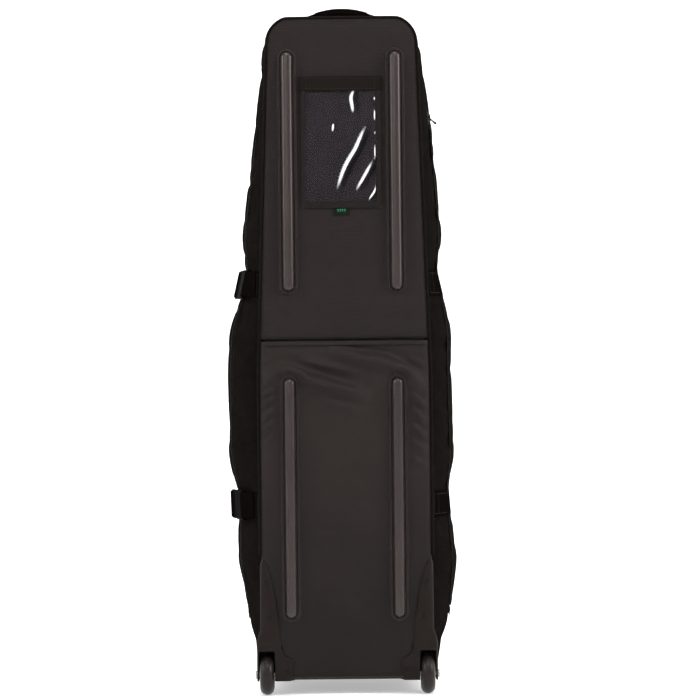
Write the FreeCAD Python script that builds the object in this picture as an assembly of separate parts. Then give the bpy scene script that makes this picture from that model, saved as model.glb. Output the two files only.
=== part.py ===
"""Golf travel case, standing on two skate wheels and two front feet.

A stiff padded back carries four skid rails, an identity pocket and two moulded wheel housings.
A deep soft front opens like a door on a vertical hinge at the right side: a zip follows its other
edges, over the hood, down the left side and round the foot tray. Two compression straps run round
the front to side release buckles on the left.
Frame in millimetres: +Z up, -Y is the wheeled back, +X is to the right when the back faces you,
origin on the ground under the middle of the case.
"""
import FreeCAD, Part
import math
import os

V = FreeCAD.Vector

# ---- driving dimensions ------------------------------------------------------------------------
CASE_TOP = 1286.0          # top of the hood
BACK_Y = -150.0            # outer face of the padded back
BACK_PAD = 11.0            # thickness of the back padding
SEAM_Y = -138.0            # where the side gussets meet the back
SPLIT_Y = -70.0            # plane of the zip and of the hinge
FRONT_CORNER_Y = 130.0     # where the side turns into the front
FRONT_Y = 150.0            # crown of the front
TRAY_Z = 150.0             # height of the zip round the foot tray
TAPE = 10.0                # width of one zip tape
WALL = 4.0                 # padded fabric wall
GAP = 0.4                  # clearance between neighbouring panels
BASE_Z = 28.0              # underside of the base
BASE_THICK = 5.6
MID_SEAM_Z = 674.0         # seam between the upper and lower back
PANEL_KINK_Z = 600.0       # above this height the back narrows
PANEL_LOW_HALF = 163.0
PANEL_TOP_HALF = 142.0
SHOULDER_Z = 1235.0        # where the hood starts to round over
RIGHT_ZIP_Z = 1084.0       # lower end of the zip on the hinge side
TAPE_IN, TAPE_OUT = -2.6, -0.8    # the zip tape's faces, from the outside of the wall

SLIDER_Z = 1101.0          # middle of the main slider when the zip is closed
SLIDER_L = 22.0
SLIDER_W = 13.0
SLIDER_T = 6.4             # over both plates
SLIDER_PLATE = 1.6
SLIDER_CORNER = 3.0
BAIL_HALF_W = 2.2
BAIL_HALF_L = 6.5
BAIL_BAR = 1.8             # thickness of the bail's bridge
BAIL_RISE = 3.0            # from the outer plate to the bail's bridge
PULLER_DROP = 40.0         # how far below level the main puller points
BAIL_OUT = 4.7             # from the middle of the main slider to the bar of the puller's eye
PULLER_T = 1.8
PULL_CORD_R = 1.9
PULL_KNOT_R = 2.7
# length, half width, half width of the eye, rear and front of the eye's bar, front of the eye
MAIN_PULLER = (16.0, 4.6, 2.9, -0.6, 0.6, 7.6)
POCKET_PULLER = (30.0, 2.2, 1.4, -2.1, -1.5, 3.0)

# height, half width to the left and to the right of the fabric at its widest
STATIONS = [
    (34, 167, 167), (95, 172, 177), (150, 189, 198), (250, 204, 208), (334, 204, 199),
    (386, 206, 195), (450, 220, 204), (620, 220, 200), (690, 217, 201), (756, 198, 189),
    (808, 185, 177), (880, 190, 185), (1085, 163, 167), (1235, 146, 146),
]
HOOD = [(0.0, 0.0), (33.0, 19.0), (51.0, 47.0)]    # height above the shoulder, inward step

WHEEL_R = 38.0
WHEEL_W = 27.0
WHEEL_X = 153.0
WHEEL_Y = -136.0
AXLE_R = 3.95
BEARING_R = 11.0
HUB_R = 22.0
HOUSING_X = 172.0          # outer face of a wheel housing
HOUSING_IN_X = 134.0
HOUSING_BACK_Y = -156.0
HOUSING_FRONT_Y = -88.0
HOUSING_Z = 27.0
HOUSING_TOP_Z = 98.0
HOUSING_PLATE = 5.8
WELL_HALF = 15.0
WELL_CLEAR = 4.0           # round the tyre
WELL_HEIGHT = 84.0         # of the opening in the back face
# the housing's outline from its outer foot, up the arm to the tip and down the inner side
HOUSING_OUTLINE = [
    (172, 27), (172, 98), (170, 111), (165, 125), (164.5, 250), (162, 257), (157.5, 257), (150, 247),
    (143.5, 226), (134.5, 188), (128.5, 144), (126, 90), (121, 77), (101, 67.5), (106, 27),
]
HOUSING_EDGE = 2.5         # radius round the back face
SCREWS = [(113, 46), (147, 150), (153.5, 216)]
SCREW_R = 2.1
SCREW_HEAD_R = 4.2
SCREW_HEAD = 2.4
BOLT_HEAD_R, BOLT_HEAD = 7.5, 3.3
NUT_R, NUT = 6.5, 2.8
TYRE_SHOULDER = 11.0       # how far the tread's edges lie inside its crown
BEARING_W = 7.0
BEARING_STARTS = (-9.9, 2.9)

FOOT_X, FOOT_Y = 118.0, 78.0
FOOT_R, FOOT_TOP_R = 13.0, 18.0

WEB = 50.0                 # webbing width
WEB_T = 2.0
WEB_LIFT = 0.8             # gap between webbing and wall
STRAPS = {"lower": 360.0, "upper": 782.0}
BUCKLE_H = 57.0
BUCKLE_L = 38.0
BUCKLE_T = 9.0
BUCKLE_EDGE = 3.0
BUCKLE_HOLLOW = (-7.7, -1.2)      # inner and outer faces of the socket's hollow
BUCKLE_HOLLOW_HALF = 22.0
BUCKLE_HOLLOW_START = 10.0
BUCKLE_WINDOW = (16.0, 30.0)      # the side openings that catch the prongs
BUCKLE_BAR = 3.0                  # thickness of the bar that holds the webbing
BUCKLE_SLOT = 3.5                 # width of a webbing slot
PLUG_T = (-8.3, -0.8)             # faces of the plug's body
PLUG_L = 28.0
PLUG_SLOTS = (9.0, 19.0)
PLUG_SLOT = 4.0
PRONG = (14.0, 7.0)               # where the prongs start, and their width
PRONG_T = (-7.1, -2.4)
PRONG_HALF = 20.0
GUIDE = (18.0, 4.0)               # where the middle guide starts, and its half width
GUIDE_T = (-6.8, -3.2)
BUCKLE_Y = -112.0          # rear end of the buckle socket
BUCKLE_LENGTH = 66.0       # socket and plug together
BUCKLE_TURN = {"lower": 20.0, "upper": 15.0}    # slope of the flank under each buckle
BUCKLE_CLEAR = 0.8         # between the buckle and the wall where the wall is fullest

PIPING_Y = -146.0
PIPING_R = 2.8
PIPING_OUT = 1.2           # from the edge of the back to the middle of the cord
PIPING_START_Z = 259.0     # just above the arms of the housings

RAILS = {"upper": (100.5, 761.0, 1229.0), "lower": (104.5, 139.0, 609.5)}
RAIL_SHIFT = {"upper": {-1: 4.0, 1: 0.5}, "lower": {-1: 0.5, 1: -4.0}}  # outward, by side
RAIL_FLANGE = 36.0
RAIL_FLANGE_T = 2.4
RAIL_R = 13.5
RAIL_SINK = 3.0            # depth of the ridge's centre below the flange

ID_W = 154.0
ID_BOTTOM = 924.0
ID_TOP = 1175.0
ID_X = -2.5                # its middle, sewn a little off the centre line
ID_BORDER = 7.0
ID_R = 18.0
ID_STRIP = 28.0

HANDLE_HALF = 52.0
HANDLE_TOP = 1306.0
HANDLE_Y = -108.0
HANDLE_W = 30.0
HANDLE_T = 5.0
HANDLE_ARCH = 4.0          # how far the grip's middle stands above its ends
LEG_HALF_Y = 12.5
LEG_RUN = 18.0             # length of a leg's slope and of its flat foot, along X
LEG_T = 2.4
LEG_FOOT_T = 2.0
LEG_FOOT_Z = 1288.6        # upper face of the sewn foot

POCKET_LOW = 404.0
POCKET_HIGH = 735.0
POCKET_HALF = 122.0
POCKET_DEPTH = 27.0
POCKET_WALL = 3.0
POCKET_R = 38.0
POCKET_EDGE = 9.0          # radius round the pocket's face
POCKET_ZIP = 9.0           # height of the zip in the pocket's face
POCKET_FACE = FRONT_Y + POCKET_DEPTH
POCKET_ZIP_Z = POCKET_HIGH - 62
POCKET_ZIP_HALF = POCKET_HALF - 26
POCKET_SLIDER_X = -POCKET_ZIP_HALF + 18
POCKET_SLIDER_HALF = (5.5, 9.0)   # half width and half length
POCKET_BAIL = 5.0          # from the slider's plate to the middle of its bail

TIE_Z = 690.0
TIE_Y = BACK_Y + BACK_PAD + 5.2
TIE_T = 1.6
TIE_HALF_W = 19.0
TIE_MARGIN = 16.0          # from the edge of the back
TIE_BUCKLE = (21.6, 23.0, 8.0)    # half width, half height and thickness

FAR = 3000.0
LEFT, RIGHT = -1, 1


# ---- small helpers -----------------------------------------------------------------------------
def box(x0, x1, y0, y1, z0, z1):
    return Part.makeBox(x1 - x0, y1 - y0, z1 - z0, V(x0, y0, z0))


def between_y(shape, low, high):
    return shape.common(box(-FAR, FAR, low, high, -FAR, FAR))


def between_z(shape, low, high):
    return shape.common(box(-FAR, FAR, -FAR, FAR, low, high))


def both(make):
    """The same piece on the left and on the right, as one shape."""
    return Part.makeCompound([make(LEFT), make(RIGHT)])


def fused(first, *others):
    return first.multiFuse(list(others)).removeSplitter()


def flipped(shape):
    """The mirror image across the middle plane of the case."""
    return shape.mirror(V(0, 0, 0), V(1, 0, 0))


def on_side(shape, side):
    """A shape built for the right side, put on the side asked for."""
    return shape if side == RIGHT else flipped(shape)


def flat_shape(points, y0, y1):
    """A plate between two planes of constant Y, from the corners of its outline in X and Z."""
    wire = Part.makePolygon([V(x, y0, z) for x, z in points + points[:1]])
    return Part.Face(wire).extrude(V(0, y1 - y0, 0))


def edges_along(shape, axis):
    """Straight edges that run along one axis, given by its letter."""
    return [e for e in shape.Edges if abs(abs(getattr(e.tangentAt(e.FirstParameter), axis)) - 1) < 1e-6]


def rounded_plate(x0, x1, z0, z1, y0, y1, radius):
    plate = box(x0, x1, y0, y1, z0, z1)
    return plate.makeFillet(radius, edges_along(plate, "y"))


def stadium(x, z0, z1, width, y0, y1):
    return rounded_plate(x - width / 2, x + width / 2, z0, z1, y0, y1, width / 2 - 0.01)


def cylinder_x(radius, x0, x1, y, z):
    return Part.makeCylinder(radius, x1 - x0, V(x0, y, z), V(1, 0, 0))


# ---- the outline of the case -------------------------------------------------------------------
def panel_half(z):
    """Half width of the back, at its seam."""
    if z <= PANEL_KINK_Z:
        return PANEL_LOW_HALF
    share = (z - PANEL_KINK_Z) / (SHOULDER_Z - PANEL_KINK_Z)
    return PANEL_LOW_HALF + (PANEL_TOP_HALF - PANEL_LOW_HALF) * share


def widest(side, z):
    """Half width of the fabric at its widest."""
    column = 1 if side == LEFT else 2
    for low, high in zip(STATIONS, STATIONS[1:]):
        if z <= high[0]:
            share = (z - low[0]) / (high[0] - low[0])
            return low[column] + (high[column] - low[column]) * share
    return STATIONS[-1][column]


def side_knots(side, z, offset, shrink=0.0):
    """Seven points round one side, from the back seam to the front corner, moved out by offset."""
    back, wide = panel_half(z) - shrink, widest(side, z) - shrink
    corner_y = FRONT_CORNER_Y - 0.6 * shrink
    knots = [
        (back, SEAM_Y, 0.9, -0.436),
        ((back + wide) / 2 + 4.3, (SEAM_Y + SPLIT_Y) / 2 - 2.5, 0.87, -0.49),
        (wide, SPLIT_Y, 0.985, -0.17),
        (wide + 2.5, SPLIT_Y + 60, 1.0, 0.0),
        (wide - 3, 50 - 0.3 * shrink, 0.98, 0.2),
        (wide - 16.8 + 0.1 * shrink, 100.4 - 0.45 * shrink, 0.816, 0.58),
        (wide - 60 + 0.2 * shrink, corner_y, 0.27, 0.963),
    ]
    return [V(side * (x + nx * offset), y + ny * offset, z) for x, y, nx, ny in knots]


def outline_arcs(z, offset, shrink=0.0, tuck=0.0):
    """Seven arcs from the left back seam, round the front, to the right back seam."""
    left = side_knots(LEFT, z, offset, shrink)
    right = side_knots(RIGHT, z, offset, shrink)[::-1]
    crown = V(0, FRONT_Y - 0.6 * shrink + offset, z)
    arcs = [left[0:3], left[2:5], left[4:7], None, right[0:3], right[2:5], right[4:7]]
    arcs[3] = [left[6] + V(tuck, 0, 0), crown, right[0] - V(tuck, 0, 0)]
    return arcs


LEFT_SIDE, FRONT_SIDE, RIGHT_SIDE = (0, 2), (3, 3), (4, 6)


def band_wire(span, z, inner, outer):
    first, last = span
    tuck = GAP if span == FRONT_SIDE else 0.0
    out = outline_arcs(z, outer, tuck=tuck)[first:last + 1]
    back = [arc[::-1] for arc in outline_arcs(z, inner, tuck=tuck)[first:last + 1]][::-1]
    edges = [Part.Arc(*arc).toShape() for arc in out]
    edges.append(Part.makeLine(out[-1][2], back[0][0]))
    edges += [Part.Arc(*arc).toShape() for arc in back]
    edges.append(Part.makeLine(back[-1][2], out[0][0]))
    return Part.Wire(edges)


def band(span, z0, z1, inner, outer):
    """A wall or strap that follows the outline between two heights."""
    heights = [z0] + [s[0] for s in STATIONS if z0 < s[0] < z1] + [z1]
    wires = [band_wire(span, z, inner, outer) for z in heights]
    return Part.makeLoft(wires, True, True)


def ring_wire(z, shrink, offset):
    arcs = outline_arcs(min(z, SHOULDER_Z), offset, shrink)
    for arc in arcs:
        for point in arc:
            point.z = z
    edges = [Part.Arc(*arc).toShape() for arc in arcs]
    edges.append(Part.makeLine(arcs[-1][2], arcs[0][0]))
    return Part.Wire(edges)


def hood_dome(offset, drop):
    wires = [ring_wire(SHOULDER_Z + rise - (drop if rise else 0), step, offset) for rise, step in HOOD]
    return Part.makeLoft(wires, True, True)


def hood_shell(inner, outer):
    """The rounded top of the case, hollow and open below."""
    return hood_dome(outer, -outer).cut(hood_dome(inner, -inner))


# ---- back --------------------------------------------------------------------------------------
def back_plate(inset, low, high, y0, y1):
    """A flat layer of the back between two heights, with the round corners of the hood."""
    top = min(high, SHOULDER_Z)
    right = [V(panel_half(z) - inset, y0, z) for z in (low, PANEL_KINK_Z, top) if low <= z <= top]
    edges = [Part.makeLine(p, q) for p, q in zip(right, right[1:])]
    if high > SHOULDER_Z:
        corner = hood_corner(-inset, y0)
        edges.append(Part.Arc(*corner).toShape())
        right.append(corner[2])
    left = [edge.mirror(V(0, 0, 0), V(1, 0, 0)) for edge in edges]
    ends = [Part.makeLine(V(-p.x, p.y, p.z), p) for p in (right[0], right[-1])]
    wire = Part.Wire(Part.__sortEdges__(edges + left + ends))
    return Part.Face(wire).extrude(V(0, y1 - y0, 0))


def hood_corner(offset, y):
    """Start, middle and end of the back's round top right corner, moved out by offset."""
    edge = panel_half(SHOULDER_Z) + offset
    top = CASE_TOP - 1 + offset
    return [V(edge, y, SHOULDER_Z), V(edge - 13, y, top - 15), V(edge - 47, y, top)]


def clear_of_housings(shape):
    for side in (LEFT, RIGHT):
        envelope = box(HOUSING_IN_X - 3 - GAP, FAR, -FAR, HOUSING_FRONT_Y + GAP, -FAR, HOUSING_TOP_Z + GAP)
        shape = shape.cut(on_side(envelope, side))
    return shape


def upper_back_panel():
    return back_plate(2, MID_SEAM_Z + 1, CASE_TOP, BACK_Y, BACK_Y + BACK_PAD)


def lower_back_panel():
    return clear_of_housings(back_plate(2, BASE_Z + 6, MID_SEAM_Z - 1, BACK_Y, BACK_Y + BACK_PAD))


def back_board():
    y = BACK_Y + BACK_PAD + GAP
    return clear_of_housings(back_plate(9, BASE_Z + 8, CASE_TOP - 12, y, y + 2.4))


def back_lining():
    y = BACK_Y + BACK_PAD + 3.2
    return clear_of_housings(back_plate(10, BASE_Z + 9, CASE_TOP - 14, y, y + 1.4))


def piping():
    """Welt cord in the seam round the back, from one housing arm over the hood to the other."""
    y, radius, out, start = PIPING_Y, PIPING_R, PIPING_OUT, PIPING_START_Z
    corner = hood_corner(out, y)
    low = V(PANEL_LOW_HALF + out, y, start)
    kink = V(PANEL_LOW_HALF + out, y, PANEL_KINK_Z)
    runs = [Part.makeLine(low, kink), Part.makeLine(kink, corner[0]), Part.Arc(*corner).toShape()]
    half = [run.mirror(V(0, 0, 0), V(1, 0, 0)) for run in runs]
    across = Part.makeLine(corner[2], V(-corner[2].x, y, corner[2].z))
    wire = Part.Wire(Part.__sortEdges__(runs + [across] + half))
    ring = Part.Wire([Part.makeCircle(radius, low, V(0, 0, 1))])
    return wire.makePipeShell([ring], True, False)


def skid_rail(side, level):
    x, low, high = RAILS[level]
    x += RAIL_SHIFT[level][side]
    face = BACK_Y - GAP / 2
    flange = stadium(x, low, high, RAIL_FLANGE, face - RAIL_FLANGE_T, face)
    centre_y = face - RAIL_FLANGE_T + RAIL_SINK
    end = RAIL_FLANGE / 2
    core = Part.makeCylinder(RAIL_R, high - low - 2 * end, V(x, centre_y, low + end), V(0, 0, 1))
    caps = [Part.makeSphere(RAIL_R, V(x, centre_y, z)) for z in (low + end, high - end)]
    ridge = between_y(core.multiFuse(caps), -FAR, face - 0.5)
    return on_side(fused(flange, ridge), side)


# ---- identity pocket ---------------------------------------------------------------------------
def id_plate(inset, y, thick, top=ID_TOP):
    half = ID_W / 2 - inset
    radius = max(ID_R - inset, 4)
    return rounded_plate(-half, half, ID_BOTTOM + inset, top, y - thick, y, radius)


def id_backing():
    return id_plate(0, BACK_Y - 0.2, 0.8)


def id_binding():
    y = BACK_Y - 1.2
    ring = id_plate(0, y, 2.0, ID_TOP - ID_STRIP / 2)
    hole = box(-ID_W / 2 + ID_BORDER, ID_W / 2 - ID_BORDER, y - 9, y + 9, ID_BOTTOM + ID_BORDER, FAR)
    return ring.cut(hole)


def id_window():
    half = ID_W / 2 - ID_BORDER - 0.3
    y = BACK_Y - 2.0
    return rounded_plate(-half, half, ID_BOTTOM + ID_BORDER + 0.3, ID_TOP - 6, y - 0.6, y, 3)


def id_strip():
    y = BACK_Y - 3.5
    return rounded_plate(-ID_W / 2, ID_W / 2, ID_TOP - ID_STRIP, ID_TOP, y - 1.6, y, 2)


def id_tag():
    y = BACK_Y - 0.2
    return box(-15, 15, y - 1.2, y, ID_BOTTOM - 13, ID_BOTTOM - GAP)


# ---- soft walls --------------------------------------------------------------------------------
def gusset(side, inner=-WALL, outer=0.0, low=BASE_Z + 6, high=SHOULDER_Z):
    return band(LEFT_SIDE if side == LEFT else RIGHT_SIDE, low, high, inner, outer)


def rear_gusset(side):
    """Side wall between the back seam and the zip, or the hinge line on the right."""
    shape = gusset(side)
    if side == LEFT:
        shape = between_y(shape, -FAR, SPLIT_Y - TAPE)
    else:
        shape = between_y(shape, -FAR, SPLIT_Y - GAP)
        shape = shape.cut(box(0, FAR, SPLIT_Y - TAPE, FAR, RIGHT_ZIP_Z, FAR))
    return clear_of_housings(shape)


def hood_rear():
    """Rear part of the hood, open towards the stiff board of the back."""
    return between_y(hood_shell(-WALL, 0), SEAM_Y + 1.8, SPLIT_Y - TAPE)


def tray_side(side):
    shape = between_z(gusset(side), -FAR, TRAY_Z - TAPE)
    start = SPLIT_Y - TAPE + GAP if side == LEFT else SPLIT_Y
    return between_y(shape, start, FAR)


def tray_front():
    return band(FRONT_SIDE, BASE_Z + 6, TRAY_Z - TAPE, -WALL, 0)


def door_side(side):
    shape = between_z(gusset(side), TRAY_Z + TAPE, FAR)
    if side == LEFT:
        return between_y(shape, SPLIT_Y + TAPE, FAR)
    shape = between_y(shape, SPLIT_Y + GAP, FAR)
    return shape.cut(box(0, FAR, -FAR, SPLIT_Y + TAPE, RIGHT_ZIP_Z, FAR))


def door_front():
    return band(FRONT_SIDE, TRAY_Z + TAPE, SHOULDER_Z, -WALL, 0)


def hood_front():
    return between_y(hood_shell(-WALL, 0), SPLIT_Y + TAPE, FAR)


# ---- main zip ----------------------------------------------------------------------------------
def zip_walls(side):
    return gusset(side, TAPE_IN, TAPE_OUT)


def upright_tapes(low_y, high_y, low_z, right_low_z):
    left = between_z(between_y(zip_walls(LEFT), low_y, high_y), low_z, FAR)
    right = between_z(between_y(zip_walls(RIGHT), low_y, high_y), right_low_z, FAR)
    over = between_y(hood_shell(TAPE_IN, TAPE_OUT), low_y, high_y)
    return [left, over, right]


def level_tapes(low_z, high_z, start_y):
    sides = [between_y(between_z(zip_walls(s), low_z, high_z), start_y, FAR) for s in (LEFT, RIGHT)]
    return sides + [band(FRONT_SIDE, low_z, high_z, TAPE_IN, TAPE_OUT)]


def case_zip_tape():
    upright = upright_tapes(SPLIT_Y - TAPE + GAP, SPLIT_Y - GAP, TRAY_Z - TAPE + GAP, RIGHT_ZIP_Z + GAP)
    level = level_tapes(TRAY_Z - TAPE + GAP, TRAY_Z - GAP, SPLIT_Y)
    return Part.makeCompound(upright + level)


def door_zip_tape():
    upright = upright_tapes(SPLIT_Y + GAP, SPLIT_Y + TAPE - GAP, TRAY_Z + TAPE, RIGHT_ZIP_Z + GAP)
    level = level_tapes(TRAY_Z + GAP, TRAY_Z + TAPE - GAP, SPLIT_Y + GAP)
    return Part.makeCompound(upright + level)


def right_lean():
    """Lean of the right side above the widest chest, as an angle from upright in degrees."""
    rise = STATIONS[-1][0] - STATIONS[-2][0]
    return math.degrees(math.atan2(STATIONS[-2][2] - STATIONS[-1][2], rise))


def slider_at(shape):
    """From the slider's own frame, outward along +X and travel along +Z, to its place."""
    turned = shape.copy()
    turned.rotate(V(0, 0, 0), V(0, 1, 0), -right_lean())
    turned.translate(V(widest(RIGHT, SLIDER_Z) + (TAPE_IN + TAPE_OUT) / 2, SPLIT_Y, SLIDER_Z))
    return turned


def slider_body():
    """Two plates joined by a middle post, with a bail over the outer one."""
    half_t, half_w, half_l = SLIDER_T / 2, SLIDER_W / 2, SLIDER_L / 2
    outer = box(half_t - SLIDER_PLATE, half_t, -half_w, half_w, -half_l, half_l)
    inner = box(-half_t, -half_t + SLIDER_PLATE, -half_w, half_w, -half_l, half_l)
    outer = outer.makeFillet(SLIDER_CORNER, edges_along(outer, "x"))
    inner = inner.makeFillet(SLIDER_CORNER, edges_along(inner, "x"))
    post = box(-half_t, half_t, -GAP + 0.1, GAP - 0.1, half_l - 6, half_l - 1)
    top = half_t + BAIL_RISE + BAIL_BAR
    feet = [box(half_t, top - 0.6, -BAIL_HALF_W, BAIL_HALF_W, z, z + 2) for z in (-BAIL_HALF_L, BAIL_HALF_L - 2)]
    bridge = box(half_t + BAIL_RISE, top, -BAIL_HALF_W, BAIL_HALF_W, -BAIL_HALF_L, BAIL_HALF_L)
    return fused(outer, inner, post, bridge, *feet)


def puller_shape(length, half, hole, bar, start, reach):
    """A flat tab along +X with an eye for the slider's bail: its bar is from bar to start."""
    wall = half - hole
    tab = box(bar, reach + wall + 2, -half, half, -PULLER_T / 2, PULLER_T / 2)
    tab = tab.cut(box(start, reach, -hole, hole, -5, 5))
    cord = Part.makeCylinder(PULL_CORD_R, length - reach - wall, V(reach + wall, 0, 0), V(1, 0, 0))
    return fused(tab, cord, Part.makeSphere(PULL_KNOT_R, V(length, 0, 0)))


def main_slider():
    return slider_at(slider_body())


def main_puller():
    pull = puller_shape(*MAIN_PULLER)
    pull.rotate(V(0, 0, 0), V(0, 1, 0), PULLER_DROP + right_lean())
    pull.translate(V(BAIL_OUT, 0, 0))
    return slider_at(pull)


# ---- compression straps ------------------------------------------------------------------------
def strap_loop(level, span):
    z = STRAPS[level]
    return band(span, z - WEB / 2, z + WEB / 2, WEB_LIFT, WEB_LIFT + WEB_T)


def strap_tail(level):
    """Short webbing from the left back seam to the buckle's socket."""
    return between_y(strap_loop(level, LEFT_SIDE), -FAR, BUCKLE_Y - GAP)


def strap_root(level):
    """Webbing from the right back seam to the hinge line."""
    return between_y(strap_loop(level, RIGHT_SIDE), -FAR, SPLIT_Y - GAP)


def strap_front(level):
    """Webbing on the door, from the buckle's plug round the front to the hinge line."""
    loop = strap_loop(level, (1, 5))
    loop = loop.cut(box(-FAR, 0, -FAR, BUCKLE_Y + BUCKLE_LENGTH + GAP, -FAR, FAR))
    return between_y(loop, SPLIT_Y + GAP, FAR)


def flank_points(z):
    """Points along the left flank at one height, as distance out and Y."""
    arcs = outline_arcs(z, 0.0)[:2]
    points = [p for arc in arcs for p in Part.Arc(*arc).toShape().discretize(25)]
    return [(-p.x, p.y) for p in points]


def buckle_foot(z, turn):
    """Distance out, at BUCKLE_Y, of the plane that clears the flank under a buckle."""
    slope = math.tan(math.radians(turn))
    under = [(out, y) for out, y in flank_points(z) if BUCKLE_Y <= y <= BUCKLE_Y + BUCKLE_LENGTH]
    fullest = max(out - slope * (y - BUCKLE_Y) for out, y in under)
    return fullest + BUCKLE_CLEAR / math.cos(math.radians(turn))


def buckle_at(shape, level):
    """From the buckle's own frame, outward along -X and rear end at Y 0, to its place on the sloping flank."""
    z, turn = STRAPS[level], BUCKLE_TURN[level]
    low, high = buckle_foot(z - WEB / 2, turn), buckle_foot(z + WEB / 2, turn)
    turned = shape.copy()
    turned.rotate(V(0, 0, 0), V(0, 1, 0), math.degrees(math.atan2(low - high, WEB)))
    turned.rotate(V(0, 0, 0), V(0, 0, 1), turn)
    turned.translate(V(-(low + high) / 2, BUCKLE_Y, z))
    return turned


def webbing_slot(y, width):
    return box(-FAR, FAR, y, y + width, -WEB / 2 - 0.5, WEB / 2 + 0.5)


def buckle_socket(level):
    half = BUCKLE_H / 2
    body = box(-BUCKLE_T, 0, 0, BUCKLE_L, -half, half)
    body = body.makeFillet(BUCKLE_EDGE, edges_along(body, "y"))
    body = body.cut(box(*BUCKLE_HOLLOW, BUCKLE_HOLLOW_START, FAR, -BUCKLE_HOLLOW_HALF, BUCKLE_HOLLOW_HALF))
    body = body.cut(webbing_slot(BUCKLE_BAR, BUCKLE_SLOT))
    for z0, z1 in ((-FAR, 1 - BUCKLE_HOLLOW_HALF), (BUCKLE_HOLLOW_HALF - 1, FAR)):
        body = body.cut(box(*BUCKLE_HOLLOW, *BUCKLE_WINDOW, z0, z1))
    return buckle_at(body, level)


def buckle_plug(level):
    half, start = BUCKLE_H / 2 - 0.5, BUCKLE_L + GAP
    body = box(*PLUG_T, start, start + PLUG_L, -half, half)
    body = body.makeFillet(BUCKLE_EDGE, edges_along(body, "y"))
    for y in PLUG_SLOTS:
        body = body.cut(webbing_slot(start + y, PLUG_SLOT))
    first, width = PRONG
    prongs = [box(*PRONG_T, first, start + 1, z, z + width) for z in (-PRONG_HALF, PRONG_HALF - width)]
    first, width = GUIDE
    guide = box(*GUIDE_T, first, start + 1, -width, width)
    return buckle_at(fused(body, guide, *prongs), level)


# ---- front pocket ------------------------------------------------------------------------------
def pocket_block(inset, y1):
    return rounded_plate(-POCKET_HALF + inset, POCKET_HALF - inset, POCKET_LOW + inset,
                         POCKET_HIGH - inset, 0, y1, POCKET_R - inset)


def pocket_pouch():
    """A pouch open towards the front wall of the door, with a slot for its zip near the top."""
    outer = pocket_block(0, POCKET_FACE)
    outer = outer.makeFillet(POCKET_EDGE, [e for e in outer.Edges if abs(e.CenterOfMass.y - POCKET_FACE) < 1e-3])
    shell = outer.cut(pocket_block(POCKET_WALL, POCKET_FACE - POCKET_WALL))
    shell = shell.cut(front_block(POCKET_LOW - 20, POCKET_HIGH + 20, GAP))
    half, high = POCKET_ZIP_HALF + GAP, POCKET_ZIP / 2 + GAP
    return shell.cut(box(-half, half, FRONT_Y, FAR, POCKET_ZIP_Z - high, POCKET_ZIP_Z + high))


def front_block(low, high, offset):
    """Everything behind the outer face of the front, as a cutting tool."""
    heights = [low] + [s[0] for s in STATIONS if low < s[0] < high] + [high]
    wires = []
    for z in heights:
        left, crown, right = outline_arcs(z, offset)[3]
        corners = [right, V(right.x, -10, z), V(left.x, -10, z), left]
        edges = [Part.Arc(left, crown, right).toShape()]
        edges += [Part.makeLine(p, q) for p, q in zip(corners, corners[1:])]
        wires.append(Part.Wire(edges))
    return Part.makeLoft(wires, True, True)


def pocket_zip():
    """Closed zip across the face of the pocket, set into its slot."""
    high = POCKET_ZIP / 2
    return box(-POCKET_ZIP_HALF, POCKET_ZIP_HALF, POCKET_FACE - 2.4, POCKET_FACE - 0.6,
               POCKET_ZIP_Z - high, POCKET_ZIP_Z + high)


def facing_front(shape, rise):
    """Outward becomes +Y and travel becomes +X, at the left end of the pocket's zip."""
    turned = shape.copy()
    turned.rotate(V(0, 0, 0), V(1, 0, 0), 90)
    turned.rotate(V(0, 0, 0), V(0, 0, 1), 90)
    turned.translate(V(POCKET_SLIDER_X, POCKET_FACE + rise, POCKET_ZIP_Z))
    return turned


def pocket_slider():
    """Outer plate of the slider with its bail."""
    half_w, half_l = POCKET_SLIDER_HALF
    plate = box(0, SLIDER_PLATE, -half_w, half_w, -half_l, half_l)
    plate = plate.makeFillet(SLIDER_CORNER, edges_along(plate, "x"))
    feet = [box(SLIDER_PLATE, POCKET_BAIL, -1, 1, z, z + 2) for z in (-6, 4)]
    bridge = box(POCKET_BAIL - 0.8, POCKET_BAIL + 0.8, -1, 1, -6, 6)
    return facing_front(fused(plate, bridge, *feet), GAP)


def pocket_puller():
    """Hangs straight down from the bail of the slider."""
    pull = puller_shape(*POCKET_PULLER)
    pull.rotate(V(0, 0, 0), V(1, 0, 0), 90)
    pull.rotate(V(0, 0, 0), V(0, 1, 0), 90)
    pull.rotate(V(0, 0, 0), V(0, 0, 1), 90)
    pull.translate(V(POCKET_SLIDER_X, POCKET_FACE + GAP + POCKET_BAIL, POCKET_ZIP_Z))
    return pull


# ---- handles -----------------------------------------------------------------------------------
def arch_strip(x0, x1, z_end, z_mid, y, width, thick):
    """A strip of webbing that arches between two points in a plane of constant Y."""
    low, high = [], []
    for x, z in ((x0, z_end), ((x0 + x1) / 2, z_mid), (x1, z_end)):
        high.append(V(x, y - width / 2, z))
        low.append(V(x, y - width / 2, z - thick))
    edges = [Part.Arc(*high).toShape(), Part.makeLine(high[2], low[2]),
             Part.Arc(*low[::-1]).toShape(), Part.makeLine(low[0], high[0])]
    return Part.Face(Part.Wire(edges)).extrude(V(0, width, 0))


def top_handle_grip():
    end_z = HANDLE_TOP - HANDLE_ARCH
    return arch_strip(-HANDLE_HALF, HANDLE_HALF, end_z, HANDLE_TOP, HANDLE_Y, HANDLE_W, HANDLE_T)


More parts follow.
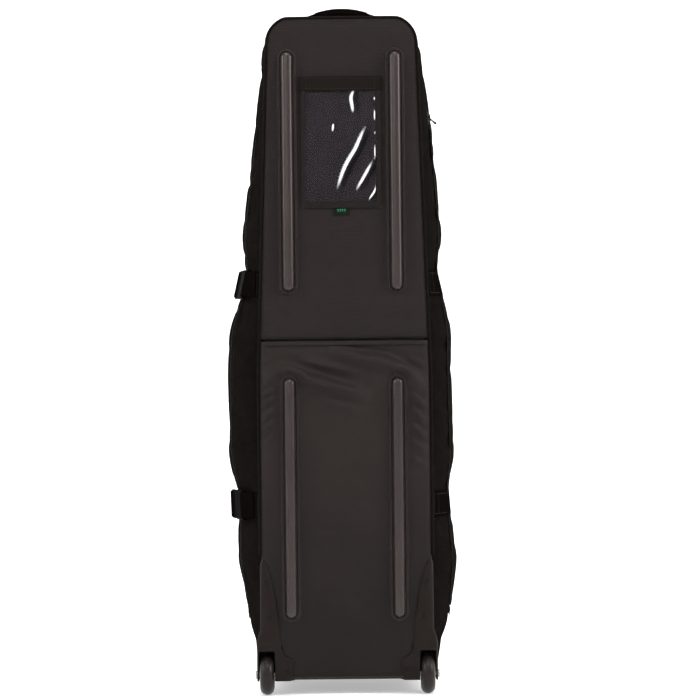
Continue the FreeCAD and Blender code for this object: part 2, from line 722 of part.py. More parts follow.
def top_handle_leg(side):
    """Webbing from the grip's end down to the hood, where its foot is sewn flat."""
    x0, x1, x2 = HANDLE_HALF + GAP, HANDLE_HALF + LEG_RUN, HANDLE_HALF + 2 * LEG_RUN
    high, foot = HANDLE_TOP - HANDLE_ARCH - 1, LEG_FOOT_Z - LEG_FOOT_T
    points = [(x0, high), (x1, LEG_FOOT_Z), (x2, LEG_FOOT_Z), (x2, foot), (x1 - 1, foot), (x0, high - LEG_T)]
    leg = flat_shape(points, HANDLE_Y - LEG_HALF_Y, HANDLE_Y + LEG_HALF_Y)
    return on_side(leg, side)


# ---- base, housings and wheels -----------------------------------------------------------------
def base_board():
    """Stiff floor of the case, under the foot tray."""
    face = Part.Face(ring_wire(BASE_Z, 0, -1))
    return clear_of_housings(face.extrude(V(0, 0, BASE_THICK)))


def front_feet():
    """Turned rubber feet under the front of the base."""
    foot = Part.makeCone(FOOT_R, FOOT_TOP_R, BASE_Z - GAP, V(FOOT_X, FOOT_Y, 0), V(0, 0, 1))
    return Part.makeCompound([foot, flipped(foot)])


def wheel_housing(side):
    """Corner guard: a flat arm up the back edge, a foot along the base and a box round the wheel."""
    plate = flat_shape(HOUSING_OUTLINE, HOUSING_BACK_Y, HOUSING_BACK_Y + HOUSING_PLATE)
    rim = [e for e in plate.Edges if abs(e.CenterOfMass.y - HOUSING_BACK_Y) < 1e-3]
    plate = plate.makeFillet(HOUSING_EDGE, rim)
    block = box(HOUSING_IN_X, HOUSING_X, HOUSING_BACK_Y + 3, HOUSING_FRONT_Y, HOUSING_Z, HOUSING_TOP_Z)
    shape = fused(plate, block)
    x0, x1 = WHEEL_X - WELL_HALF, WHEEL_X + WELL_HALF
    well = box(x0, x1, -FAR, WHEEL_Y, -FAR, WELL_HEIGHT)
    round_well = cylinder_x(WHEEL_R + WELL_CLEAR, x0, x1, WHEEL_Y, WHEEL_R)
    lower_well = box(x0, x1, WHEEL_Y - 1, WHEEL_Y + WHEEL_R + WELL_CLEAR, -FAR, WHEEL_R)
    bore = cylinder_x(AXLE_R + 0.05, 0, FAR, WHEEL_Y, WHEEL_R)
    for hollow in (well, round_well, lower_well, bore):
        shape = shape.cut(hollow)
    for x, z in SCREWS:
        shape = shape.cut(Part.makeCylinder(SCREW_R + 0.1, 40, V(x, -170, z), V(0, 1, 0)))
    return on_side(shape, side)


def housing_screws():
    """Pan head screws that hold both housings to the back board."""
    start = HOUSING_BACK_Y - GAP / 4
    pieces = []
    for x, z in SCREWS:
        face = start - SCREW_HEAD
        head = Part.makeCylinder(SCREW_HEAD_R, SCREW_HEAD, V(x, face, z), V(0, 1, 0))
        head = head.makeFillet(SCREW_HEAD / 2, [e for e in head.Edges if abs(e.CenterOfMass.y - face) < 1e-3])
        shank = Part.makeCylinder(SCREW_R, HOUSING_PLATE, V(x, start, z), V(0, 1, 0))
        screw = fused(head, shank)
        pieces += [screw, flipped(screw)]
    return Part.makeCompound(pieces)


def wheel_axles():
    """Shoulder bolt through both cheeks of each housing, with its nut on the inner face."""
    outer, inner = HOUSING_X + 0.1, HOUSING_IN_X - 0.1
    head = cylinder_x(BOLT_HEAD_R, outer, outer + BOLT_HEAD, WHEEL_Y, WHEEL_R)
    shaft = cylinder_x(AXLE_R, inner - NUT, outer + 1, WHEEL_Y, WHEEL_R)
    nut = cylinder_x(NUT_R, inner - NUT, inner, WHEEL_Y, WHEEL_R)
    bolt = fused(shaft, head, nut)
    return Part.makeCompound([bolt, flipped(bolt)])


def wheel_ring(points, side):
    """A ring round the axle, from its section as distance along the axle and radius."""
    corners = [V(WHEEL_X + x, WHEEL_Y, WHEEL_R + r) for x, r in points]
    face = Part.Face(Part.makePolygon(corners + corners[:1]))
    return on_side(face.revolve(V(WHEEL_X, WHEEL_Y, WHEEL_R), V(1, 0, 0), 360), side)


def wheel_tyre(side):
    """Urethane tyre with the round tread of a skate wheel."""
    half = WHEEL_W / 2
    shoulder = WHEEL_R - TYRE_SHOULDER
    left, right = (V(WHEEL_X + s * half, WHEEL_Y, WHEEL_R + shoulder) for s in (-1, 1))
    crown = V(WHEEL_X, WHEEL_Y, WHEEL_R + WHEEL_R)
    inner = [V(WHEEL_X + s * (half - 2), WHEEL_Y, WHEEL_R + HUB_R) for s in (1, -1)]
    edges = [Part.Arc(left, crown, right).toShape(), Part.makeLine(right, inner[0]),
             Part.makeLine(inner[0], inner[1]), Part.makeLine(inner[1], left)]
    face = Part.Face(Part.Wire(edges))
    return on_side(face.revolve(V(WHEEL_X, WHEEL_Y, WHEEL_R), V(1, 0, 0), 360), side)


def wheel_hub(side):
    """Nylon hub with a bore from each side for a bearing and a web between them."""
    half, bore = 10.4, BEARING_R + 0.01
    section = [(-half, bore), (-2.5, bore), (-2.5, 8), (2.5, 8), (2.5, bore), (half, bore),
               (half, bore + 3), (4, bore + 4), (4, HUB_R - 4), (9, HUB_R - 2), (9, HUB_R - 0.01),
               (-9, HUB_R - 0.01), (-9, HUB_R - 2), (-4, HUB_R - 4), (-4, bore + 4), (-half, bore + 3)]
    return wheel_ring(section, side)


def wheel_bearings(side):
    """Two ball bearings, each as one ring."""
    inner, wide = AXLE_R + 0.05, BEARING_W
    rings = [wheel_ring([(x, inner), (x + wide, inner), (x + wide, BEARING_R), (x, BEARING_R)], side)
             for x in BEARING_STARTS]
    return Part.makeCompound(rings)


# ---- inside ------------------------------------------------------------------------------------
def tie_straps():
    """Two lengths of webbing sewn to the back lining, to tie the golf bag in place."""
    half, inner = panel_half(TIE_Z) - TIE_MARGIN, TIE_BUCKLE[0] + GAP
    right = box(inner, half, TIE_Y, TIE_Y + TIE_T, TIE_Z - TIE_HALF_W, TIE_Z + TIE_HALF_W)
    return Part.makeCompound([flipped(right), right])


def tie_buckle():
    half_x, half_z, thick = TIE_BUCKLE
    body = box(-half_x, half_x, TIE_Y, TIE_Y + thick, TIE_Z - half_z, TIE_Z + half_z)
    return body.makeFillet(BUCKLE_EDGE, edges_along(body, "y"))


# ---- every node --------------------------------------------------------------------------------
def named_nodes():
    sides = {"left": LEFT, "right": RIGHT}
    nodes = {
        "upper_back_panel": upper_back_panel(), "lower_back_panel": lower_back_panel(),
        "back_board": back_board(), "back_lining": back_lining(), "back_piping": piping(),
        "id_backing": id_backing(), "id_binding": id_binding(), "id_window": id_window(),
        "id_closure_strip": id_strip(), "id_tag": id_tag(),
        "hood_rear": hood_rear(), "hood_front": hood_front(),
        "foot_tray_front": tray_front(), "door_front": door_front(),
        "case_zip_tape": case_zip_tape(), "door_zip_tape": door_zip_tape(),
        "main_zip_slider": main_slider(), "main_zip_puller": main_puller(),
        "top_handle_grip": top_handle_grip(), "top_handle_legs": both(top_handle_leg),
        "base_board": base_board(), "front_feet": front_feet(),
        "housing_screws": housing_screws(), "wheel_axles": wheel_axles(),
        "tie_straps": tie_straps(), "tie_buckle": tie_buckle(),
        "pocket_pouch": pocket_pouch(), "pocket_zip_tape": pocket_zip(),
        "pocket_zip_slider": pocket_slider(), "pocket_zip_puller": pocket_puller(),
    }
    for name, side in sides.items():
        nodes[f"rear_gusset_{name}"] = rear_gusset(side)
        nodes[f"foot_tray_{name}"] = tray_side(side)
        nodes[f"door_gusset_{name}"] = door_side(side)
        nodes[f"wheel_housing_{name}"] = wheel_housing(side)
        nodes[f"wheel_tyre_{name}"] = wheel_tyre(side)
        nodes[f"wheel_hub_{name}"] = wheel_hub(side)
        nodes[f"wheel_bearings_{name}"] = wheel_bearings(side)
        for level in RAILS:
            nodes[f"skid_rail_{level}_{name}"] = skid_rail(side, level)
    for name, shape in nodes.items():
        if name.startswith("id_"):
            shape.translate(V(ID_X, 0, 0))
    for level in STRAPS:
        nodes[f"strap_tail_{level}"] = strap_tail(level)
        nodes[f"strap_root_{level}"] = strap_root(level)
        nodes[f"strap_front_{level}"] = strap_front(level)
        nodes[f"buckle_socket_{level}"] = buckle_socket(level)
        nodes[f"buckle_plug_{level}"] = buckle_plug(level)
    return nodes


def main():
    os.makedirs("parts", exist_ok=True)
    for name, shape in sorted(named_nodes().items()):
        solids = shape.Solids
        if not solids or not all(solid.isValid() and solid.isClosed() for solid in solids):
            print("PROBLEM", name, len(solids), shape.isValid())
        shape.exportStep(f"parts/{name}.step")
        bound = shape.BoundBox
        print(f"{name:26s} {len(solids)} solids  {shape.Volume / 1000:9.1f} cm3  "
              f"x {bound.XMin:7.1f} {bound.XMax:7.1f}  y {bound.YMin:7.1f} {bound.YMax:7.1f}  "
              f"z {bound.ZMin:7.1f} {bound.ZMax:7.1f}")


main()
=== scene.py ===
import math

import bpy
import numpy as np
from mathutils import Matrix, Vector
from mathutils.bvhtree import BVHTree


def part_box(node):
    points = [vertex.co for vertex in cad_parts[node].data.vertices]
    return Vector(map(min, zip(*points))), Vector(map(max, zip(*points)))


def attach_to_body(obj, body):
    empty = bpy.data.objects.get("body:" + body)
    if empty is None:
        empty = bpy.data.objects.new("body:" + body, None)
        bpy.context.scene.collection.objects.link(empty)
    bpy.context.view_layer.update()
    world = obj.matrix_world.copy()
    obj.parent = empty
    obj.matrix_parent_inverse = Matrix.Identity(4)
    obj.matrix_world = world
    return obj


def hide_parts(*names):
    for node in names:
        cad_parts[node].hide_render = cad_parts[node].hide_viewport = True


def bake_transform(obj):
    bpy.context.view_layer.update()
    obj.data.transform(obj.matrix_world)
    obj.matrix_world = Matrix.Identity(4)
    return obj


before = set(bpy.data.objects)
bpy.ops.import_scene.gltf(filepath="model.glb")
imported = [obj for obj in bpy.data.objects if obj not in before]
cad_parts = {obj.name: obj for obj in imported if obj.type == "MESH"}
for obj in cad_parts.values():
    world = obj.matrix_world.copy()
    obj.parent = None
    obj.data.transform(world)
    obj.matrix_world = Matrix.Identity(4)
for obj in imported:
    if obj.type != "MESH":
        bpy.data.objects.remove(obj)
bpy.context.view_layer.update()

# Golf travel case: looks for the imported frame. Metres, +Z up, -Y is the wheeled back.
MM = 0.001
LEFT, RIGHT = -1, 1
WORD = {LEFT: "left", RIGHT: "right"}
INSIDE = (0, 0, 0.65)  # a point well inside the case


# ---- camera ------------------------------------------------------------------------------------
CAMERA_PLACE = (0.0108, -5.0, 0.655)
CAMERA_ROLL = 0.594
CAMERA_LENS = 131.3
SENSOR_WIDTH = 36


def add_object(name, data):
    obj = bpy.data.objects.new(name, data)
    bpy.context.scene.collection.objects.link(obj)
    return obj


def add_camera():
    """A long lens straight at the wheeled back, a few metres off."""
    data = bpy.data.cameras.new("camera")
    data.sensor_width = SENSOR_WIDTH
    data.lens = CAMERA_LENS
    camera = add_object("camera", data)
    camera.location = CAMERA_PLACE
    camera.rotation_euler = (math.radians(90), math.radians(CAMERA_ROLL), 0)
    bpy.context.scene.camera = camera


add_camera()


# ---- meshes ------------------------------------------------------------------------------------
def mesh_object(name, verts, faces, material, uvs=None):
    """A smooth mesh. uvs, one per vertex, are in metres of cloth."""
    mesh = bpy.data.meshes.new(name)
    mesh.from_pydata(np.asarray(verts, float).tolist(), [], [list(map(int, f)) for f in faces])
    if uvs is not None:
        layer = mesh.uv_layers.new(name="cloth")
        index = np.empty(len(mesh.loops), int)
        mesh.loops.foreach_get("vertex_index", index)
        layer.data.foreach_set("uv", np.asarray(uvs, np.float32)[index].ravel())
    mesh.shade_smooth()
    mesh.materials.append(material)
    return add_object(name, mesh)


def grid_faces(rows, cols, flip=False, ring=False):
    r, c = np.meshgrid(np.arange(rows - 1), np.arange(cols if ring else cols - 1), indexing="ij")
    right = (c + 1) % cols
    quads = np.stack([r * cols + c, r * cols + right, (r + 1) * cols + right, (r + 1) * cols + c], -1)
    quads = quads.reshape(-1, 4)
    return quads[:, ::-1] if flip else quads


def closed_faces(rows, cols):
    """Faces of rings that also join the last ring to the first."""
    last = (rows - 1) * cols
    ends = [[last + j, last + (j + 1) % cols, (j + 1) % cols, j] for j in range(cols)]
    return grid_faces(rows, cols, ring=True).tolist() + ends


def grid_uv(points):
    """Distances along the mean row and the mean column, in metres."""
    steps = [np.linalg.norm(np.diff(points, axis=axis), axis=2).mean(1 - axis) for axis in (1, 0)]
    u, v = (np.concatenate([[0], np.cumsum(step)]) for step in steps)
    return np.stack(np.meshgrid(u, v), -1).reshape(-1, 2)


def running_length(points):
    """How far along a line each of its points is."""
    return np.concatenate([[0], np.cumsum(np.linalg.norm(np.diff(points, axis=0), axis=1))])


def read_line(points, wanted):
    """The points of a line at the wanted distances along it."""
    length = running_length(points)
    return np.stack([np.interp(wanted, length, column) for column in points.T], 1)


def evenly(points, count, endpoint=True):
    """A line again, with so many evenly spaced points."""
    return read_line(points, np.linspace(0, running_length(points)[-1], count, endpoint=endpoint))


def curve_through(points, steps):
    """A Catmull-Rom curve through a few points, ending on the last one."""
    p = np.asarray(points, float)
    p = np.vstack([2 * p[0] - p[1], p, 2 * p[-1] - p[-2]])
    last = len(p) - 3
    out = []
    for i in range(1, last + 1):
        for t in np.linspace(0, 1, steps, endpoint=i == last):
            out.append(0.5 * (2 * p[i] + (p[i + 1] - p[i - 1]) * t
                              + (2 * p[i - 1] - 5 * p[i] + 4 * p[i + 1] - p[i + 2]) * t ** 2
                              + (3 * p[i] - p[i - 1] - 3 * p[i + 1] + p[i + 2]) * t ** 3))
    return np.array(out)


def grid_normals(points):
    du = np.gradient(points, axis=1)
    dv = np.gradient(points, axis=0)
    normal = np.cross(du, dv)
    return normal / np.maximum(np.linalg.norm(normal, axis=2, keepdims=True), 1e-12)


def outward_normals(points):
    """Normals of a grid, turned to point out of the case."""
    normal = grid_normals(points)
    return normal * np.sign(np.einsum("ijk,ijk->ij", normal, points - np.array(INSIDE)))[..., None]


def grid_object(name, points, material, out, flip=None):
    """A sheet from a grid of points, facing away from the point out looks from."""
    rows, cols = points.shape[:2]
    if flip is None:
        normal = grid_normals(points)[rows // 2, cols // 2]
        flip = np.dot(normal, points[rows // 2, cols // 2] - np.asarray(out)) < 0
    return mesh_object(name, points.reshape(-1, 3), grid_faces(rows, cols, flip), material, grid_uv(points))


def bake(obj):
    """Applies every modifier."""
    graph = bpy.context.evaluated_depsgraph_get()
    shown = obj.evaluated_get(graph)
    mesh = bpy.data.meshes.new_from_object(shown, preserve_all_data_layers=True, depsgraph=graph)
    old = obj.data
    obj.modifiers.clear()
    obj.data = mesh
    bpy.data.meshes.remove(old)
    return obj


def thicken(obj, thickness, offset=-1.0, levels=0):
    if levels:
        modifier = obj.modifiers.new("subdivide", "SUBSURF")
        modifier.levels = modifier.render_levels = levels
    modifier = obj.modifiers.new("thickness", "SOLIDIFY")
    modifier.thickness, modifier.offset = thickness, offset
    modifier.use_even_offset = False
    return bake(obj)


def rounded(obj, width, segments=2, angle=35):
    modifier = obj.modifiers.new("edges", "BEVEL")
    modifier.width, modifier.segments = width, segments
    modifier.limit_method, modifier.angle_limit = "ANGLE", math.radians(angle)
    modifier.harden_normals = False
    return obj


def tube_mesh(name, points, radius, material, sides=10, closed=False):
    """A round cord along a line of points; radius is one number or one per point."""
    points = np.asarray(points, float)
    count = len(points)
    tangent = np.gradient(points, axis=0)
    if closed:
        tangent = np.roll(points, -1, 0) - np.roll(points, 1, 0)
    tangent /= np.linalg.norm(tangent, axis=1, keepdims=True)
    side = np.cross(tangent, [0.0, 1.0, 0.0])
    weak = np.linalg.norm(side, axis=1) < 0.2
    side[weak] = np.cross(tangent[weak], [0.0, 0.0, 1.0])
    side /= np.linalg.norm(side, axis=1, keepdims=True)
    up = np.cross(side, tangent)
    turn = np.linspace(0, 2 * math.pi, sides, endpoint=False)
    radius = np.broadcast_to(radius, (count,))[:, None, None]
    ring = np.cos(turn)[None, :, None] * side[:, None] + np.sin(turn)[None, :, None] * up[:, None]
    verts = points[:, None] + radius * ring
    if closed:
        verts = np.concatenate([verts, verts[:1]])
    rows = len(verts)
    length = np.resize(running_length(points), rows)
    uvs = np.stack(np.meshgrid(turn * float(radius.mean()), length), -1).reshape(-1, 2)
    faces = grid_faces(rows, sides, ring=True).tolist()
    if not closed:
        faces += [list(range(sides))[::-1], list(range((rows - 1) * sides, rows * sides))]
    return mesh_object(name, verts.reshape(-1, 3), faces, material, uvs)


def many(name, placements, template, material):
    """One mesh of many copies: template is (verts, faces), placements are (origin, x, y, z axes)."""
    base_verts, base_faces = template
    base_verts = np.asarray(base_verts, float)
    verts, faces = [], []
    for origin, axes in placements:
        start = len(verts) * len(base_verts)
        verts.append(np.asarray(origin) + base_verts @ np.asarray(axes))
        faces += [[start + i for i in face] for face in base_faces]
    return mesh_object(name, np.concatenate(verts), faces, material)


def along(points, pitch, first=0.5):
    """Points spaced evenly along a line, with their tangents."""
    points = np.asarray(points, float)
    total = running_length(points)[-1]
    count = max(1, int(total / pitch))
    wanted = (np.arange(count) + first) * total / count
    tangent = read_line(points, wanted + pitch * 0.3) - read_line(points, wanted - pitch * 0.3)
    tangent /= np.maximum(np.linalg.norm(tangent, axis=1, keepdims=True), 1e-9)
    return read_line(points, wanted), tangent


def bead_template(length, width, height, rings=5, sides=6):
    """A small bead with rounded ends along X, sitting up along Z."""
    verts = []
    for x in np.linspace(-1, 1, rings):
        size = math.sqrt(max(0.0, 1 - abs(x) ** 2.6)) * 0.45 + 0.05
        for turn in np.linspace(0, 2 * math.pi, sides, endpoint=False):
            verts.append((x * length / 2, math.cos(turn) * width * size, math.sin(turn) * height * size))
    faces = grid_faces(rings, sides, ring=True, flip=True).tolist()
    faces += [list(range(sides)), list(range((rings - 1) * sides, rings * sides))[::-1]]
    return verts, faces


def stitches(name, runs, material, pitch=4.0 * MM, thread=0.8 * MM):
    """Lock stitches along runs of (points, outward), where outward is one direction or one per point."""
    template = bead_template(pitch * 0.72, thread, thread * 0.8)
    placements = []
    for points, outward in runs:
        spots, tangents = along(points, pitch)
        outward = np.atleast_2d(outward)
        for i, (spot, tangent) in enumerate(zip(spots, tangents)):
            side = np.cross(outward[i * len(outward) // len(spots)], tangent)
            side /= max(np.linalg.norm(side), 1e-9)
            placements.append((spot, (tangent, side, np.cross(tangent, side))))
    return many(name, placements, template, material)


def lathe(name, profile, centre, material, segments=96):
    """A turned piece round an axis along X, from (distance along the axis, radius)."""
    profile = np.asarray(profile, float)
    turn = np.linspace(0, 2 * math.pi, segments, endpoint=False)
    x = np.broadcast_to(profile[:, 0][:, None], (len(profile), segments))
    y = profile[:, 1][:, None] * np.cos(turn)
    z = profile[:, 1][:, None] * np.sin(turn)
    verts = np.stack([x, y, z], -1).reshape(-1, 3) + np.asarray(centre)
    return mesh_object(name, verts, closed_faces(len(profile), segments), material)


def blur(values, sigma, axis):
    """Gaussian blur along one axis with the ends held."""
    if sigma <= 0:
        return values
    reach = int(3 * sigma + 1)
    weight = np.exp(-0.5 * (np.arange(-reach, reach + 1) / sigma) ** 2)
    weight /= weight.sum()
    pads = [(0, 0)] * values.ndim
    pads[axis] = (reach, reach)
    padded = np.pad(values, pads, mode="edge")
    size = values.shape[axis]
    return sum(w * np.take(padded, range(i, i + size), axis=axis) for i, w in enumerate(weight))


def smooth_step(x):
    x = np.clip(x, 0, 1)
    return x * x * (3 - 2 * x)


def noise(x, y, seed, octaves=3):
    """Soft repeatable noise from a few sines, about -1 to 1."""
    rng = np.random.default_rng(seed)
    total, weight = np.zeros(np.broadcast(x, y).shape), 0.0
    for octave in range(octaves):
        for _ in range(4):
            angle, phase = rng.uniform(0, math.pi * 2, 2)
            pace = 2 ** octave * rng.uniform(0.7, 1.3)
            total += np.sin((x * math.cos(angle) + y * math.sin(angle)) * pace + phase) / 2 ** octave
        weight += 4 / 2 ** octave
    return total / weight * 1.6


def attach(obj, body, slot, *replaced):
    """Fixes a piece to a body and hides the CAD nodes that it stands in for; slot is not used."""
    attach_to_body(obj, body)
    if replaced:
        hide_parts(*replaced)
    return obj


# ---- materials ---------------------------------------------------------------------------------
class Nodes:
    """A short way to build a material's node tree."""

    def __init__(self, name, base, roughness, metallic=0.0):
        self.material = bpy.data.materials.new(name)
        self.material.use_nodes = True
        self.tree = self.material.node_tree
        self.shader = self.tree.nodes["Principled BSDF"]
        self.set("Base Color", (*base, 1))
        self.set("Roughness", roughness)
        self.set("Metallic", metallic)
        self.base = base

    def feed(self, socket, value):
        if isinstance(value, bpy.types.NodeSocket):
            self.tree.links.new(value, socket)
        else:
            socket.default_value = value

    def set(self, key, value):
        self.feed(self.shader.inputs[key], value)

    def add(self, kind, **inputs):
        node = self.tree.nodes.new(kind)
        for key, value in inputs.items():
            self.feed(node.inputs[key], value)
        return node

    def math(self, operation, a, b=0.0, c=0.0):
        node = self.tree.nodes.new("ShaderNodeMath")
        node.operation = operation
        for socket, value in zip(node.inputs, (a, b, c)):
            self.feed(socket, value)
        return node.outputs[0]

    def clamped(self, value):
        return self.math("MAXIMUM", self.math("MINIMUM", value, 1.0), 0.0)

    def place(self, use_uv):
        coords = self.tree.nodes.new("ShaderNodeTexCoord")
        return coords.outputs["UV"] if use_uv else coords.outputs["Object"]

    def noise(self, vector, scale, detail=3.0, rough=0.55):
        node = self.add("ShaderNodeTexNoise", Vector=vector, Scale=scale, Detail=detail, Roughness=rough)
        return node.outputs["Fac"]

    def tint(self, factor, low, high):
        """Base colour from low to high times the base, by factor."""
        ramp = self.tree.nodes.new("ShaderNodeMix")
        ramp.data_type = "RGBA"
        self.tree.links.new(factor, ramp.inputs["Factor"])
        ramp.inputs["A"].default_value = (*[c * low for c in self.base], 1)
        ramp.inputs["B"].default_value = (*[c * high for c in self.base], 1)
        return ramp.outputs["Result"]

    def bump(self, height, strength, distance, after=None):
        node = self.add("ShaderNodeBump", Height=height, Strength=strength, Distance=distance)
        if after is not None:
            self.tree.links.new(after, node.inputs["Normal"])
        return node.outputs["Normal"]


def wave(n, axis_value, pitch):
    """A sine ridge along one coordinate, 0 to 1."""
    turned = n.math("MULTIPLY", axis_value, 2 * math.pi / pitch)
    return n.math("MULTIPLY_ADD", n.math("SINE", turned), 0.5, 0.5)


SHEEN = 0.12
SHEEN_TINT = (0.55, 0.5, 0.48)
# Height where the painted shade of low_shade starts, and how far down it deepens, in metres.
SHADE_TOP, SHADE_REACH = 0.46, 0.34


def cloth_material(name, base, pitch, rough=0.85, sheen=0.3, weave="plain", bump=0.5, grid=0.0, use_uv=True,
                   across=(0, 1), gloss=0.22, low_shade=0.0, crumple_depth=4.0 * MM):
    """Woven cloth: threads at pitch, an optional coarser grid, slubs and faint wear.

    across picks the two coordinates that the weave runs along, and low_shade paints shade into the colour,
    darker towards the floor.
    """
    n = Nodes(name, base, rough)
    where = n.place(use_uv)
    split = n.add("ShaderNodeSeparateXYZ", Vector=where)
    u, v = split.outputs[across[0]], split.outputs[across[1]]
    warp, weft = wave(n, u, pitch), wave(n, v, pitch)
    if weave == "ribbed":
        thread = n.math("MAXIMUM", n.math("POWER", weft, 0.7), n.math("MULTIPLY", warp, 0.35))
    elif weave == "twill":
        lean = n.math("ADD", u, v)
        thread = n.math("MAXIMUM", wave(n, lean, pitch * 1.4), n.math("MULTIPLY", warp, 0.5))
    else:
        over = n.math("GREATER_THAN", n.math("MULTIPLY", n.math("SUBTRACT", wave(n, u, 2 * pitch), 0.5),
                                             n.math("SUBTRACT", wave(n, v, 2 * pitch), 0.5)), 0.0)
        thread = n.math("ADD", n.math("MULTIPLY", warp, over),
                        n.math("MULTIPLY", weft, n.math("SUBTRACT", 1.0, over)))
    height = thread
    if grid:
        lines = n.math("MAXIMUM", n.math("MULTIPLY", n.math("POWER", wave(n, u, grid), 6.0), 0.45),
                       n.math("POWER", wave(n, v, grid), 5.0))
        height = n.math("MULTIPLY_ADD", lines, 1.1, thread)
    blotch = n.noise(where, 9.0, 4.0)
    speck = n.noise(where, 420.0, 2.0)
    mixed = n.math("MULTIPLY_ADD", blotch, 0.7, n.math("MULTIPLY", speck, 0.35))
    mixed = n.math("MULTIPLY_ADD", thread, 0.45, mixed)
    if grid:
        mixed = n.math("MULTIPLY_ADD", lines, 0.75, n.math("SUBTRACT", mixed, 0.15))
    # painted shade: the base colour darkens towards the floor, where the lamps light the cloth less
    if low_shade:
        drop = n.clamped(n.math("MULTIPLY", n.math("SUBTRACT", SHADE_TOP, v), 1 / SHADE_REACH))
        mixed = n.math("MULTIPLY_ADD", drop, -low_shade, mixed)
    n.set("Base Color", n.tint(mixed, 0.55, 1.35))
    n.set("Roughness", n.math("MULTIPLY_ADD", blotch, 0.16, rough - 0.08))
    crumple = n.noise(where, 26.0, 3.0, 0.6)
    soft = n.bump(crumple, 0.25, crumple_depth)
    n.set("Normal", n.bump(height, bump, pitch * 0.5, soft))
    n.set("Sheen Weight", sheen * SHEEN)
    n.set("Sheen Roughness", 0.45)
    n.set("Sheen Tint", (*SHEEN_TINT, 1))
    n.set("Specular IOR Level", gloss)
    return n.material


def moulded_material(name, base, rough=0.5, grain=900.0, bump=0.12, gloss=0.5):
    """Moulded plastic or rubber: fine pebble grain, cloudy gloss, paler worn edges."""
    n = Nodes(name, base, rough)
    where = n.place(False)
    pebble = n.noise(where, grain, 2.0)
    cloud = n.noise(where, 14.0, 4.0)
    geometry = n.tree.nodes.new("ShaderNodeNewGeometry")
    edge = n.clamped(n.math("MULTIPLY", n.math("SUBTRACT", geometry.outputs["Pointiness"], 0.52), 8.0))
    mixed = n.math("MULTIPLY_ADD", edge, 0.9, n.math("MULTIPLY", cloud, 0.55))
    n.set("Base Color", n.tint(mixed, 0.75, 1.25))
    n.set("Roughness", n.math("MULTIPLY_ADD", cloud, 0.22, rough - 0.11))
    n.set("Normal", n.bump(pebble, bump, 0.0006))
    n.set("Specular IOR Level", gloss)
    n.set("Specular Tint", (1.0, 0.88, 0.84, 1))
    return n.material


def metal_material(name, base, rough=0.3):
    n = Nodes(name, base, rough, 1.0)
    where = n.place(False)
    n.set("Roughness", n.math("MULTIPLY_ADD", n.noise(where, 160.0, 3.0), 0.25, rough - 0.1))
    n.set("Normal", n.bump(n.noise(where, 900.0, 2.0), 0.06, 0.0004))
    n.set("Base Color", n.tint(n.noise(where, 40.0), 0.8, 1.15))
    return n.material


def vinyl_material():
    """Clear film: seen through with a faint haze where it lies flat; crease flanks that turn towards -X get a
    painted white highlight and a glossy coat.
    """
    cast = (0.010, 0.0095, 0.016)
    n = Nodes("clear_vinyl", cast, 0.06)
    haze = n.noise(n.place(False), 30.0, 4.0)
    normal = n.tree.nodes.new("ShaderNodeTexCoord").outputs["Normal"]
    facing = n.add("ShaderNodeSeparateXYZ", Vector=normal).outputs[0]
    # painted highlight: where the normal turns towards -X the film is made white and less clear, standing in
    # for light reflected off the crease flanks
    painted_highlight = n.math("MULTIPLY", n.math("SUBTRACT", n.math("MULTIPLY", facing, -1.0), 0.10), 10.0)
    painted_highlight = n.clamped(painted_highlight)
    n.set("Alpha", n.math("MULTIPLY_ADD", painted_highlight, 0.8, n.math("MULTIPLY_ADD", haze, 0.10, 0.12)))
    # base colour with the painted highlight: the film's tint, whitened on those flanks
    pale = n.tree.nodes.new("ShaderNodeCombineColor")
    for channel, low in zip(("Red", "Green", "Blue"), cast):
        n.feed(pale.inputs[channel], n.math("MULTIPLY_ADD", painted_highlight, 0.9, low))
    n.set("Base Color", pale.outputs[0])
    n.set("Roughness", n.math("MULTIPLY_ADD", haze, 0.06, 0.05))
    n.set("IOR", 1.5)
    n.set("Specular IOR Level", 0.08)
    n.set("Coat Weight", painted_highlight)
    n.set("Coat IOR", 1.5)
    n.set("Coat Roughness", 0.04)
    return n.material


# Flat pieces take the weave from where they lie (x and z), the rest from lengths of cloth.
FLAT = {"use_uv": False, "across": (0, 2)}
BALLISTIC = cloth_material("ballistic_weave", (0.0172, 0.0131, 0.0121), 1.5 * MM, 0.74, 0.15, bump=0.9,
                           grid=3.8 * MM, gloss=0.14, **FLAT)
BACKING = cloth_material("pocket_backing", (0.0290, 0.0238, 0.0245), 0.4 * MM, 0.8, 0.0, bump=0.05,
                         gloss=0.08, **FLAT)
# The coated lower panel gets painted shade towards the floor through low_shade.
COATED = cloth_material("coated_fabric", (0.0150, 0.0110, 0.0098), 0.7 * MM, 0.55, 0.12, bump=0.22,
                        gloss=0.13, low_shade=0.62, **FLAT)
NYLON = cloth_material("case_fabric", (0.0054, 0.0044, 0.0039), 0.9 * MM, 0.8, 0.12, bump=0.6, gloss=0.0,
                       crumple_depth=26 * MM)
WEBBING = cloth_material("webbing", (0.0036, 0.0028, 0.0025), 1.9 * MM, 0.8, 0.0, "ribbed", 0.8, gloss=0.0)
STRIP = cloth_material("closure_webbing", (0.0085, 0.0062, 0.0050), 1.3 * MM, 0.9, 0.1, "ribbed", 0.7,
                       gloss=0.08, **FLAT)
BINDING = cloth_material("binding", (0.0105, 0.0082, 0.0075), 1.2 * MM, 0.75, 0.1, "ribbed", 0.6, gloss=0.1,
                         **FLAT)
PIPING = cloth_material("piping", (0.0056, 0.0045, 0.0041), 0.8 * MM, 0.7, 0.0, "twill", 0.35, gloss=0.02)
LINING = cloth_material("lining", (0.06, 0.06, 0.065), 0.8 * MM, 0.8, 0.2, "twill", 0.3)
